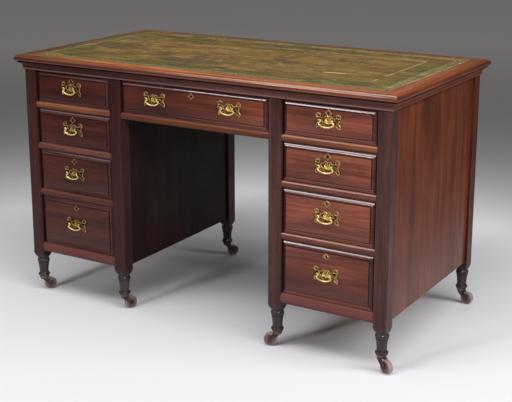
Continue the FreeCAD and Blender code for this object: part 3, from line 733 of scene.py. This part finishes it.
@dataclass
class DeskTop:
    """The moulded border, the board and the tooled leather."""

    half_x: float = 0.590
    half_y: float = 0.290
    surface: float = 0.7615
    leather_thickness: float = 0.0010
    cell: float = 0.010
    band_middle: float = 0.0190
    long_stamps: int = 42
    short_stamps: int = 20
    line_insets: tuple = ((0.0026, 0.0018), (0.0056, 0.0008), (0.0332, 0.0014), (0.0980, 0.0020), (0.1012, 0.0010))
    foil: float = 0.0001
    fillet_fall: Point = (0.7226, 0.7216)
    fillet_highlight: Colour = (0.190, 0.105, 0.092)
    far_y: Point = (0.10, 0.30)
    far_x: Point = (-0.30, -0.60)
    right_x: Point = (0.05, 0.45)
    shade_and_wear_x: Point = (0.15, -0.30)
    outer_x: float = 0.635
    outer_y: float = 0.335
    hollow_to_red: Point = (0.7425, 0.7455)
    polish_begins: Point = (0.7430, 0.7470)
    red_to_amber: Point = (0.7560, 0.7612)
    flat_begins: Point = (0.7590, 0.7618)
    unevenness: float = 0.00012
    pressed: float = 0.0003

    def border_material(self) -> Material:
        """Amber mahogany whose grain follows each mitred length."""
        finish = Finish("border_mahogany")
        place = finish.place
        x, y, z = place.parts()
        across = abs(x) - self.outer_x > abs(y) - self.outer_y
        vector = across.mix(Grain.ALONG_X.turn(place), Grain.ALONG_Y.turn(place), kind="VECTOR")
        bright, roughness, height = EDGE_MAHOGANY.colour(vector)
        # Painted shade: the border darkens towards its back and its left.
        far = y.spread(*self.far_y) | x.spread(*self.far_x)
        bright = far.mix(bright, BORDER_SHADE_MAHOGANY.tone(vector), 0.88)
        bright = x.spread(*self.right_x).mix(bright, MAHOGANY.middle, 0.60)
        # Painted shade: the hollow under the nosing and the nosing's front darken towards the left.
        painted_shade = x.spread(*self.shade_and_wear_x, 0.80)
        deep = painted_shade.mix(UNDER_MAHOGANY.tone(vector), RECESS_SHADE_MAHOGANY.tone(vector))
        # Painted highlight: a light line on the fillet at the foot of the hollow.
        deep = z.spread(*self.fillet_fall).mix(deep, self.fillet_highlight, 0.75)
        deep = across.mix(deep, MAHOGANY.middle, 0.85)
        red = painted_shade.mix(MAHOGANY.tone(vector), PAINTED_SHADE_MAHOGANY.middle, 0.8)
        low = z.spread(*self.hollow_to_red).mix(deep, red)
        colour = z.spread(*self.red_to_amber).mix(low, bright)
        flat = z.spread(*self.flat_begins)
        coat = flat * -0.48 + z.spread(*self.polish_begins, 0.55)
        return FRENCH_POLISH.lay(finish, colour, flat * 0.16 + roughness, height, coat)

    def leather(self) -> Piece:
        """The leather sheet, slightly uneven, with its edges pressed down.

        Returns:
            The piece.
        """
        shape = bmesh.new()
        count_x = round(2 * self.half_x / self.cell)
        count_y = round(2 * self.half_y / self.cell)
        bmesh.ops.create_grid(shape, x_segments=count_x, y_segments=count_y, size=1.0)
        for vertex in shape.verts:
            x, y = vertex.co.x * self.half_x, vertex.co.y * self.half_y
            rise = math.sin(17.0 * x + 5.0 * y) * math.sin(23.0 * y - 4.0 * x)
            edge = min(self.half_x - abs(x), self.half_y - abs(y))
            press = max(0.0, 1.0 - edge / self.cell)
            vertex.co = (x, y, self.surface + self.unevenness * rise - self.pressed * press)
        rim = [e for e in shape.edges if e.is_boundary]
        skirt = bmesh.ops.extrude_edge_only(shape, edges=rim)["geom"]
        for vertex in (g for g in skirt if isinstance(g, bmesh.types.BMVert)):
            vertex.co.z = self.surface - self.leather_thickness
        bmesh.ops.contextual_create(shape, geom=[e for e in shape.edges if e.is_boundary])
        bmesh.ops.recalc_face_normals(shape, faces=shape.faces)
        mesh = bpy.data.meshes.new("tooled_leather")
        shape.to_mesh(mesh)
        shape.free()
        mesh.materials.append(WritingLeather().material())
        return new_piece("tooled_leather", mesh)

    def stamp(self) -> Piece:
        """One stamp of the gilt band: a fan of petals between two scrolls, with dots.

        Returns:
            An object used only to repeat its mesh.
        """
        shape = bmesh.new()
        petal_step, petal_start, petal_width = math.pi / 6, 0.003, 0.0016
        long_petal, short_petal = 0.0150, 0.0115
        steps, thickness = 8, 0.0015

        def leaf(start: Vector, tip: Vector, width: float) -> None:
            """Add a pointed leaf between two points."""
            side = (tip - start).orthogonal().normalized() * width
            side.z = 0.0
            middle = (start + tip) / 2
            corners = [start, middle + side, tip, middle - side]
            shape.faces.new([shape.verts.new(c) for c in corners])

        def scroll(centre: Vector, radius: float, first: float, last: float) -> None:
            """Add a flat arc round a centre, from one angle to another."""
            turns = [first + (last - first) * i / steps for i in range(steps + 1)]
            ways = [Vector((math.cos(t), math.sin(t), 0)) for t in turns]
            inner = [shape.verts.new(centre + way * radius) for way in ways]
            outer = [shape.verts.new(centre + way * (radius + thickness)) for way in ways]
            for i in range(steps):
                shape.faces.new((inner[i], outer[i], outer[i + 1], inner[i + 1]))

        root = Vector((0, -0.0085, 0))
        for number in range(-2, 3):
            heading = math.pi / 2 + number * petal_step
            reach = long_petal if number % 2 == 0 else short_petal
            away = Vector((math.cos(heading), math.sin(heading), 0))
            leaf(root + away * petal_start, root + away * reach, petal_width)
        for side in (-1, 1):
            first, last = (0.0, 5.0) if side > 0 else (math.pi, -1.9)
            scroll(Vector((side * 0.0085, 0.0075, 0)), 0.0034, first, last)
            scroll(Vector((side * 0.0078, -0.0070, 0)), 0.0026, math.pi / 2, math.pi / 2 - side * 4.4)
            leaf(Vector((side * 0.0120, -0.002, 0)), Vector((side * 0.0120, 0.0025, 0)), 0.0009)
        mesh = bpy.data.meshes.new("band_stamp")
        bmesh.ops.recalc_face_normals(shape, faces=shape.faces)
        shape.to_mesh(mesh)
        shape.free()
        return new_piece("band_stamp", mesh)

    def tooling(self) -> Piece:
        """The gilt band of stamps.

        Returns:
            The piece.
        """
        x, y, z = self.half_x - self.band_middle, self.half_y - self.band_middle, self.surface + self.foil
        pitch_x, pitch_y = 2 * x / self.long_stamps, 2 * y / self.short_stamps
        paths = [
            [(x - pitch_x / 2, -y, z), (-x + pitch_x / 2, -y, z)],
            [(-x, -y + pitch_y / 2, z), (-x, y - pitch_y / 2, z)],
            [(-x + pitch_x / 2, y, z), (x - pitch_x / 2, y, z)],
            [(x, y - pitch_y / 2, z), (x, -y + pitch_y / 2, z)],
        ]
        stamp = self.stamp()
        band = path_piece("gilt_band", paths)
        stamp_tool(stamp).run(band, Gilding().material(), {"Pitch": pitch_x * 0.999})
        bpy.data.objects.remove(stamp)
        return band

    def lines(self) -> Piece:
        """The gilt lines beside the band and round the writing area.

        Returns:
            The piece.
        """
        points, faces = [], []
        ways = ((-1, -1), (1, -1), (1, 1), (-1, 1))
        for inset, width in self.line_insets:
            start = len(points)
            for away in (inset, inset + width):
                x, y = self.half_x - away, self.half_y - away
                points += [(sx * x, sy * y, self.surface + self.foil) for sx, sy in ways]
            for i in range(4):
                j = (i + 1) % 4
                faces.append((start + i, start + j, start + 4 + j, start + 4 + i))
        mesh = bpy.data.meshes.new("gilt_lines")
        mesh.from_pydata(points, [], faces)
        mesh.materials.append(Gilding("gilt_line", kept_y=(-0.150, -0.185), rubbed_away=0.9).material())
        return new_piece("gilt_lines", mesh)

    def build(self) -> None:
        """Dress the border and board, and lay the leather with its tooling."""
        border = self.border_material()
        for name in ("top_border", "top_panel"):
            dress(name, border)
        leather = self.leather()
        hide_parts("leather_inset")
        for piece in (leather, self.tooling(), self.lines()):
            settle(piece, "desk_frame")


def dress(node: str, material: Material) -> None:
    """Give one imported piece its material."""
    slots = frame["nodes"][node].material_slots
    for slot in slots:
        slot.material = material
    if not slots:
        frame["nodes"][node].data.materials.append(material)
    LOG.info("dressed %s", node)


def settle(piece: Piece, body: str) -> None:
    """Fix a new piece to the body that carries it."""
    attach(piece, body)
    LOG.info("built %s on %s", piece.name, body)


@dataclass
class Carcass:
    """Posts, panels, rails and runners."""

    rail_back: float = -0.266
    kneehole_x: float = 0.270
    foot_fall: Point = (0.130, 0.115)
    # Painted highlight colour for the up-facing top of each rail's rounded front.
    rubbed_and_highlit: Colour = (0.440, 0.195, 0.115)
    bottom_rail: Colour = (0.205, 0.068, 0.062)
    lit_rise: Point = (0.46, 0.58)
    lowest_rise: Point = (0.22, 0.18)
    shade_x: Point = (0.10, -0.24)
    post_top: Point = (0.60, 0.73)
    panel_foot: Point = (0.40, 0.16)

    def inward(self, x: Signal) -> Signal:
        """One between the pedestals, and nought elsewhere."""
        return abs(x) < self.kneehole_x

    def rails_material(self) -> Material:
        """Polished mahogany on the front rails, bare oak on the runners behind them."""
        finish = Finish("rail_mahogany")
        place, facing_up = finish.place, finish.shader.facing_up
        x, y, z = place.parts()
        along = Grain.ALONG_X.turn(place)
        behind = y > self.rail_back
        front, roughness, height = RAIL_MAHOGANY.colour(along)
        lit = z.spread(*self.lit_rise, 0.45)
        front = lit.mix(front, EDGE_MAHOGANY.tone(along))
        front = z.spread(*self.lowest_rise).mix(front, self.bottom_rail, 0.5)
        frieze = self.inward(x)
        front = frieze.mix(front, MAHOGANY.dark, 0.55)
        # Painted shade on the rails' down-facing undersides.
        front = facing_up(0.05, -0.55).mix(front, DARK_MAHOGANY.middle, 0.6)
        # Painted highlight on the up-facing top of each rail's front, held back by painted shade on the left rails
        # and the frieze rail.
        painted_shade = x.spread(*self.shade_x) * (0.75 - lit) | frieze * 0.6
        handled_and_highlit = facing_up(0.30, 0.80) * (1.0 - painted_shade)
        front = handled_and_highlit.mix(front, self.rubbed_and_highlit, 0.45)
        hidden = LINING_OAK.tone(Grain.ALONG_Y.turn(place))
        coat = (1.0 - behind) * (handled_and_highlit * 0.42 + 0.05)
        return FRENCH_POLISH.lay(finish, behind.mix(front, hidden), roughness, height, coat)

    def posts_material(self) -> Material:
        """Dark mahogany, redder on the back posts and greyish purple on the feet, with painted shade on the left
        posts and the posts' tops.
        """
        finish = Finish("post_mahogany")
        x, y, z = finish.place.parts()
        vector = Grain.ALONG_Z.turn(finish.place)
        colour, roughness, height = DARK_MAHOGANY.colour(vector)
        colour = (y > 0.0).mix(colour, BACK_MAHOGANY.tone(vector))
        # Painted shade: the left posts darken, and so do the tops of all posts under the top's overhang.
        painted_shade = x.spread(*self.shade_x, 0.75) | z.spread(*self.post_top, 0.25)
        colour = painted_shade.mix(colour, RECESS_SHADE_MAHOGANY.tone(vector))
        low = z.spread(*self.foot_fall)
        colour = low.mix(colour, FOOT_MAHOGANY.tone(vector), 0.8)
        return FRENCH_POLISH.lay(finish, colour, roughness, height, low * 0.24 + 0.07)

    def panels_material(self) -> Material:
        """Red mahogany outside, and painted shade on the panels inside the kneehole."""
        finish = Finish("panel_mahogany")
        x, _, z = finish.place.parts()
        vector = Grain.ALONG_Z.turn(finish.place)
        outside, roughness, height = MAHOGANY.colour(vector)
        inward = self.inward(x)
        # Painted shade: the kneehole panels take a near-black copy of the mahogany.
        colour = inward.mix(outside, SHADED_MAHOGANY.tone(vector))
        coat = (z.spread(*self.panel_foot) * 0.24 + 0.03) * (1.0 - inward)
        return FRENCH_POLISH.lay(finish, colour, roughness, height, coat)

    def build(self) -> None:
        """Dress the pieces of the carcass."""
        dress("corner_posts", self.posts_material())
        dress("pedestal_panels", self.panels_material())
        dress("rails_and_runners", self.rails_material())


class HandleRelief:
    """Cast scrolls, fan and beads that stand up from one pierced back plate, drawn in millimetres."""

    EDGE_RIBS = (
        ([(0, 9.6), (3.4, 13.2), (6.8, 14.0), (9.8, 12.2), (12, 9.2), (16.8, 7.4), (21, 9.4)], 1.0, 0.8),
        ([(35.6, 3.6), (33.2, 0.4), (32.6, -4), (34.2, -8.6), (37.6, -14), (36.2, -20)], 1.3, 1.0),
        ([(35.6, -20), (31.4, -18.6), (27, -14.4), (20.6, -10.6), (13.4, -11.2), (9, -14.4)], 0.9, 0.6),
        ([(8.6, -14.4), (6.6, -18.4), (3.4, -20.6), (0, -21.2)], 0.6, 0.6),
        ([(5, -7.6), (11.6, -6.8), (17.6, -3.4), (20.6, 1.6), (20.4, 6.4)], 0.8, 1.2),
        ([(24.6, -3.6), (27.8, -6.6), (30.6, -8.4)], 0.7, 1.1),
    )
    SHARE = 0.9375
    EAR = (30.8, 13.6)
    FAN_ROOT = (0.0, -9.0)
    RAYS = (18.5, 20.0, 17.0, 14.0)
    RAY_TURN = 21
    RAY_SHARES = (0.12, 0.4, 0.7, 0.94)
    EAR_STEPS = 34
    EAR_START, EAR_TURN = -50, 16
    EAR_RADIUS, EAR_CLOSING = 8.2, 0.155
    RIB_LIFT, BEAD_LIFT, END_LIFT = 0.3, 0.4, 0.6
    PIVOT = (28, 4)
    BEAD_RING = 5.7
    BEAD_COUNT = 10

    def __init__(self, x: float, z: float, plate_y: float) -> None:
        """Keep the plate's middle and the height of its face."""
        self.x, self.z, self.plate_y = x, z, plate_y

    def put(self, point: Sequence[float], lift: float) -> tuple[float, float, float]:
        """A point of the drawing on the plate, a little above its face."""
        share = self.SHARE / 1000
        return (self.x + point[0] * share, self.plate_y - lift / 1000, self.z + point[1] * share)

    def edges(self) -> list[tuple[list, float, float]]:
        """The edge lines and scroll of the right half, each with its first and last thickness."""
        lines = [(smooth_line(points), first, last) for points, first, last in self.EDGE_RIBS]
        scroll = []
        for step in range(self.EAR_STEPS):
            turn = math.radians(self.EAR_START + self.EAR_TURN * step)
            radius = self.EAR_RADIUS - self.EAR_CLOSING * step
            scroll.append((self.EAR[0] + radius * math.cos(turn), self.EAR[1] + radius * math.sin(turn)))
        lines.append((scroll, 1.0, 0.5))
        return lines

    def fan(self) -> list[tuple[list, float, float]]:
        """The rays of the right half of the fan, each with its first and last thickness."""
        lines = []
        for number, reach in enumerate(self.RAYS):
            heading = math.radians(90 - self.RAY_TURN * number)
            away = (math.cos(heading), math.sin(heading))
            ray = [(self.FAN_ROOT[0] + away[0] * reach * share, self.FAN_ROOT[1] + away[1] * reach * share)
                   for share in self.RAY_SHARES]
            lines.append((ray, 0.55, 1.45))
        return lines

    def ribs(self, drawn: list) -> tuple[list, list]:
        """Lines of the right half laid on both halves of the plate.

        Args:
            drawn: Lines with their first and last thickness.

        Returns:
            Paths, and the thickness at each of their points.
        """
        paths, radii = [], []
        for side in (-1, 1):
            for line, first, last in drawn:
                count = len(line) - 1
                widths = [first + (last - first) * i / count for i in range(count + 1)]
                paths.append([self.put((side * p[0], p[1]), self.RIB_LIFT) for p in line])
                radii.append([w / 1000 for w in widths])
        return paths, radii

    def beads(self) -> list[tuple[float, float, float]]:
        """Places of the beads round the pivot posts and along the fan."""
        places = []
        for side in (-1, 1):
            for number in range(self.BEAD_COUNT):
                turn = math.radians(360 / self.BEAD_COUNT * number)
                x = side * self.PIVOT[0] + self.BEAD_RING * math.cos(turn)
                places.append(self.put((x, self.PIVOT[1] + self.BEAD_RING * math.sin(turn)), self.BEAD_LIFT))
            places.append(self.put((side * 36.4, -20.6), self.END_LIFT))
        places.append(self.put((0, -21.0), self.END_LIFT))
        places.append(self.put(self.FAN_ROOT, self.END_LIFT + 0.1))
        return places


@dataclass
class DrawerFronts:
    """The nine drawers with their brass."""

    face_y: float = -0.311
    plate_y: float = -0.3125
    back_y: float = -0.289
    step_depth: float = 0.0018
    shadow_line_depth: float = 0.0043
    lit_edge: Colour = (0.260, 0.098, 0.072)
    pedestal_x: float = 0.431
    pedestal_half: float = 0.140
    frieze_half: float = 0.249
    end_strip: float = 0.0062
    end_shadow: Colour = (0.004, 0.002, 0.002)
    floors: tuple = (0.619, 0.4905, 0.343, 0.1665)
    heights: tuple = (0.098, 0.110, 0.129, 0.158)
    handle_rise: float = 0.004
    frieze_reach: float = 0.126
    escutcheon_drop: float = 0.024
    pin_reach: float = 0.0072
    rim_half: Point = (0.0096, 0.0091)
    rim_waist: float = 0.43
    rim_radius: float = 0.0006
    bead_radius: float = 0.00115
    pin_radius: float = 0.0008
    caught_coat: float = 0.75
    shade_and_wear_x: Point = (0.33, -0.18)
    shade_z: Point = (0.36, 0.20)
    lit_x: Point = (-0.10, 0.25)
    lower_shade_from: float = 0.50
    lower_shade_to: float = 0.20

    def drawers(self) -> list[tuple[str, float, float, float, list]]:
        """Each drawer's name, middle, floor, height and its handles' names with their places."""
        found = []
        for side_name, side in (("left", -1), ("right", 1)):
            for number, (floor, height) in enumerate(zip(self.floors, self.heights), start=1):
                name = f"{side_name}_{number}"
                found.append((name, side * self.pedestal_x, floor, height, [(name, side * self.pedestal_x)]))
        handles = [("centre_left", -self.frieze_reach), ("centre_right", self.frieze_reach)]
        found.append(("centre", 0.0, self.floors[0], self.heights[0], handles))
        return found

    def lower_shade(self, z: Signal) -> Signal:
        """How far down its drawer's front a height lies, as a mask of painted shade that is one near the lower edge.
        """
        return reduce(or_, (
            z.spread(floor + self.lower_shade_from * height, floor + self.lower_shade_to * height) * (z > floor)
            for floor, height in zip(self.floors, self.heights)
        ))

    def ends(self, x: Signal) -> Signal:
        """The strips at both ends of every drawer's front, painted dark as the shadow in the gaps beside the posts.
        """
        across = abs(x)
        frieze, pedestal = (
            reach.spread(half - self.end_strip, half - self.end_strip / 2)
            for reach, half in ((across, self.frieze_half), (abs(across - self.pedestal_x), self.pedestal_half))
        )
        return (across > self.frieze_half + self.end_strip).mix(frieze, pedestal, kind="FLOAT")

    def box_material(self) -> Material:
        """Figured mahogany on the fronts, oak on the linings."""
        finish = Finish("drawer_woods")
        place, facing, facing_up = finish.place, finish.shader.facing, finish.shader.facing_up
        x, y, z = place.parts()
        along = Grain.ALONG_X.turn(place)
        behind = y > self.back_y - 0.0002
        moulded = y.spread(self.face_y + 0.0006, self.face_y + 0.0022)
        front, roughness, height = FIGURED_MAHOGANY.colour(along)
        # Painted shade: the fronts darken towards the left and on the lower drawers, and random clouds darken them
        # too.
        left_and_low_shade = x.spread(*self.shade_and_wear_x, 0.92) | z.spread(*self.shade_z, 0.62)
        cloud = place.noise((7.0, 1.0, 13.0), 3.0).spread(0.46, 0.66, 0.42)
        front = (left_and_low_shade | cloud).mix(front, PAINTED_SHADE_MAHOGANY.tone(along))
        # Painted shade: each front darkens towards its lower edge.
        front = self.lower_shade(z).mix(front, DARK_MAHOGANY.middle, 0.45)
        front = moulded.mix(front, MOULDING_MAHOGANY.tone(along))
        # Painted light: the down-facing moulding slopes are lightened on the right.
        worn_and_lit = moulded * (facing_up(0.02, -0.25) * x.spread(*self.lit_x))
        front = worn_and_lit.mix(front, self.lit_edge)
        deep, step, floor = y - self.face_y, self.step_depth, self.shadow_line_depth
        # Painted shade: the step round each field, a painted shadow line along the middle of the moulding slope, and
        # the side-facing moulding strips are darkened.
        quirk = deep.band((0.0003, 0.0010), (step + 0.0007, step + 0.0001))
        shadow_line = deep.band((floor - 0.0006, floor - 0.0002), (floor + 0.0006, floor + 0.0002))
        aside = facing(0, -0.10, -0.35, 0.85) | facing(0, 0.10, 0.35, 0.40)
        front = (quirk | shadow_line | aside * moulded).mix(front, RECESS_SHADE_MAHOGANY.dark, 0.8)
        # Painted shadow: near-black strips at both ends of every front, along the gaps beside the posts.
        ends = self.ends(x)
        front = ends.mix(front, self.end_shadow, 0.95)
        lining = LINING_OAK.tone(Grain.ALONG_Y.turn(place))
        caught = moulded * facing_up(-0.05, 0.30)
        coat = (caught - moulded) * 0.2 + FRENCH_POLISH.coat
        coat = caught * (self.caught_coat - FRENCH_POLISH.coat) + coat
        coat = coat * ((shadow_line | ends) * -0.8 + 1.0) * (1.0 - behind)
        return FRENCH_POLISH.lay(finish, behind.mix(front, lining), roughness, height, coat)

    def relief(self, name: str, z: float, handles: list, ribs: PathTool, beads: PathTool) -> list[Piece]:
        """Cast relief and beads of one drawer's plates.

        Args:
            name: The drawer's name.
            z: Height of the plates' middle.
            handles: Names and places of the handles.
            ribs: The tool that makes ribs.
            beads: The tool that makes beads.

        Returns:
            The pieces.
        """
        plates = [HandleRelief(x, z, self.plate_y) for _, x in handles]
        pieces = []
        for kind, metal in (("scrolls", RELIEF), ("fan", FAN)):
            paths, radii = [], []
            for plate in plates:
                more_paths, more_radii = plate.ribs(plate.fan() if kind == "fan" else plate.edges())
                paths += more_paths
                radii += more_radii
            pieces.append(path_piece(f"plate_{kind}_{name}", paths, radii))
            ribs.run(pieces[-1], metal, {})
        places = [point for plate in plates for point in plate.beads()]
        drops = path_piece(f"plate_beads_{name}", [[p] for p in places])
        beads.run(drops, RELIEF, {"Radius": self.bead_radius})
        return pieces + [drops]

    def rim(self, name: str, x: float, z: float, ribs: PathTool) -> Piece:
        """The raised rim round one hollow-sided escutcheon.

        Args:
            name: The drawer's name.
            x: Middle of the escutcheon.
            z: Height of its middle.
            ribs: The tool that makes ribs.

        Returns:
            The piece.
        """
        wide, high = self.rim_half
        paths = []
        for side_x in (-1, 1):
            for side_z in (-1, 1):
                corner = (x + side_x * wide * self.rim_waist, z + side_z * high * self.rim_waist)
                line = smooth_line([(x + side_x * wide, z), corner, (x, z + side_z * high)], 4)
                paths.append([(point.x, self.plate_y, point.y) for point in line])
        radii = [[self.rim_radius] * len(path) for path in paths]
        piece = path_piece(f"escutcheon_rim_{name}", paths, radii)
        ribs.run(piece, RELIEF, {})
        return piece

    def build(self) -> None:
        """Dress the drawers and add their relief, rims and pins."""
        wood = self.box_material()
        plate = PLATE_BRASS.material()
        ribs, beads = rib_tool(), bead_tool()
        for name, x, floor, height, handles in self.drawers():
            dress(f"drawer_{name}_box", wood)
            dress(f"drawer_{name}_brassware", plate)
            dress(f"drawer_{name}_lock_bolt", plate)
            for handle, _ in handles:
                dress(f"bail_{handle}", BRIGHT)
            pieces = self.relief(name, floor + height / 2 + self.handle_rise, handles, ribs, beads)
            keyhole = floor + height - self.escutcheon_drop
            pieces.append(self.rim(name, x, keyhole, ribs))
            pins = [[(x + side * self.pin_reach, self.plate_y, keyhole)] for side in (-1, 1)]
            pieces.append(path_piece(f"escutcheon_pins_{name}", pins))
            beads.run(pieces[-1], RELIEF, {"Radius": self.pin_radius})
            for piece in pieces:
                settle(piece, f"drawer_{name}")


@dataclass
class Casters:
    """Cups, horns and wheels under the feet."""

    def build(self) -> None:
        """Dress the casters."""
        dress("caster_sockets", CUP_BRASS.material())
        horn = DARK_BRONZE.material()
        for joint in frame["record"]["behaviour"]["joints"]:
            if joint["name"].startswith("wheel_"):
                place = joint["child"].removeprefix("wheel_")
                wheel = CasterWheel(f"wheel_{place}_brown", tuple(joint["pos_m"]), tuple(joint["axis"]))
                dress(f"caster_{place}_wheel", wheel.material())
                dress(f"caster_{place}_horn", horn)


@dataclass
class Studio:
    """Floor, lights and camera."""

    eye: tuple = (1.7528, -2.8653, 1.3032)
    turn: float = 31.12
    dip: float = 14.38
    lens: float = 79.47
    shift: float = -0.080
    reach: float = 14.0
    middle: tuple = (-0.08, -0.14, 0.0)
    pale: Colour = (0.700, 0.697, 0.712)
    grey: Colour = (0.205, 0.200, 0.193)
    glow: Colour = (0.125, 0.122, 0.117)
    dim: Colour = (0.040, 0.040, 0.042)
    wall: Colour = (0.138, 0.134, 0.130)
    pale_reach: float = 1.30
    fall_off: float = 0.60
    glow_reach: Point = (1.8, 6.0)
    sensor: float = 36.0

    def floor(self) -> Piece:
        """A pale floor with a painted pool of light that falls off to grey far behind the desk, and a painted glow
        far off.
        """
        mesh = bpy.data.meshes.new("floor")
        ways = ((-1, -1), (1, -1), (1, 1), (-1, 1))
        mesh.from_pydata([(x * self.reach, y * self.reach, 0) for x, y in ways], [], [(0, 1, 2, 3)])
        finish = Finish("floor_paper")
        shader = finish.shader
        place = shader.vector("SUBTRACT", {0: finish.place, 1: self.middle})
        away = shader.vector("LENGTH", {0: place}, "Value")
        # Painted light: the floor is pale in a pool round the desk, falls off to grey further out, and glows far off.
        past = away - self.pale_reach | 0.0
        near = shader.math("EXPONENT", past * (-1.0 / self.fall_off))
        finish.feed({
            "Base Color": near.mix(self.grey, self.pale),
            "Roughness": 0.9,
            "Emission Color": away.spread(*self.glow_reach).mix((0.0, 0.0, 0.0), self.glow),
            "Emission Strength": 1.0,
        })
        mesh.materials.append(finish.material)
        piece = new_piece("floor", mesh)
        return piece

    def only(self, name: str, piece: Piece, state: str) -> bpy.types.Collection:
        """A set of pieces for a lamp that lights one piece alone, or all but it.

        Args:
            name: The set's name.
            piece: The piece in it.
            state: INCLUDE to light it alone, EXCLUDE to light all but it.

        Returns:
            The set.
        """
        pieces = bpy.data.collections.new(name)
        pieces.objects.link(piece)
        pieces.collection_objects[0].light_linking.link_state = state
        return pieces

    def lamp(self, name: str, place: Sequence[float], aim: Sequence[float], size: Point, power: float,
             colour: Colour = (1.0, 1.0, 1.0), lit: Optional[bpy.types.Collection] = None) -> None:
        """One soft rectangular lamp.

        Args:
            name: The lamp's name.
            place: Where it hangs.
            aim: What it points at.
            size: Its width and height.
            power: Its strength in watts.
            colour: The colour of its light.
            lit: The pieces it lights, where it doesn't light all.
        """
        light = bpy.data.lights.new(name, "AREA")
        light.shape = "RECTANGLE"
        light.size, light.size_y = size
        light.energy = power
        light.color = colour
        lamp = bpy.data.objects.new(name, light)
        lamp.location = place
        lamp.rotation_euler = (Vector(aim) - Vector(place)).to_track_quat("-Z", "Y").to_euler()
        lamp.light_linking.receiver_collection = lit
        bpy.context.scene.collection.objects.link(lamp)

    def build(self) -> None:
        """Set floor, light and camera."""
        scene = bpy.context.scene
        floor = self.floor()
        paper, pieces = self.only("floor_alone", floor, "INCLUDE"), self.only("all_but_floor", floor, "EXCLUDE")
        self.lamp("paper", (0.75, -1.15, 3.0), (0.1, 0.5, 0.0), (4.8, 1.0), 112.0, lit=paper)
        self.lamp("paper_low", (-0.9, -3.4, 1.0), (0.0, -0.2, 0.0), (0.5, 0.3), 58.0, (0.93, 0.96, 1.0), paper)
        self.lamp("paper_right", (2.6, 0.3, 1.6), (0.8, 0.2, 0.0), (1.0, 0.8), 18.0, lit=paper)
        self.lamp("paper_left", (-2.6, -0.6, 1.6), (-0.9, -0.1, 0.0), (1.0, 0.8), 11.0, lit=paper)
        self.lamp("paper_back", (-0.6, 2.8, 2.6), (0.0, 0.0, 0.0), (2.4, 1.4), 12.0, (0.86, 0.93, 1.0), paper)
        self.lamp("key", (1.6, -1.5, 1.8), (0.45, -0.3, 0.4), (0.9, 0.7), 42.0, lit=pieces)
        self.lamp("front", (-1.0, -2.1, 2.8), (-1.0, -0.3, 0.6), (0.8, 1.1), 25.0, (1.0, 0.86, 0.83), pieces)
        self.lamp("overhead", (-0.5, 0.1, 3.3), (-0.4, 0.0, 0.4), (3.4, 1.2), 77.0, lit=pieces)
        self.lamp("strip", (-1.4, -2.75, 2.55), (0.2, -0.3, 0.7), (1.3, 0.15), 13.0, (0.98, 0.96, 1.0), pieces)
        self.lamp("side", (-2.1, -1.75, 2.55), (-0.5, -0.3, 0.6), (1.4, 0.9), 5.0, (1.0, 0.93, 0.93), pieces)
        self.lamp("right", (3.2, 0.3, 2.2), (0.6, 0, 0.4), (1.4, 1.4), 30.0)
        self.lamp("back", (-0.6, 2.3, 3.4), (0, 0, 0.4), (2.4, 1.0), 30.0, lit=pieces)
        world = bpy.data.worlds.new("studio")
        world.use_nodes = True
        shader = ShaderTree(world.node_tree)
        seen = shader.out("ShaderNodeLightPath", {}, "Is Camera Ray")
        shader.put(world.node_tree.nodes["Background"].inputs["Color"], seen.mix(self.dim, self.wall))
        scene.world = world
        scene.view_settings.view_transform = "Standard"
        camera = bpy.data.cameras.new("camera")
        camera.lens, camera.sensor_width, camera.shift_y = self.lens, self.sensor, self.shift
        holder = bpy.data.objects.new("camera", camera)
        holder.location = self.eye
        holder.rotation_euler = (math.radians(90 - self.dip), 0.0, math.radians(self.turn))
        scene.collection.objects.link(holder)
        scene.camera = holder


BRIGHT, RELIEF, FAN = BRIGHT_BRASS.material(), RELIEF_BRASS.material(), FAN_BRASS.material()


def main() -> None:
    """Build the desk's looks in order."""
    logging.basicConfig(level=logging.INFO, format="%(message)s")
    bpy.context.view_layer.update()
    for part in (DeskTop(), Carcass(), DrawerFronts(), Casters(), Studio()):
        part.build()
        LOG.info("finished %s", type(part).__name__)


if __name__ == "__main__":
    main()
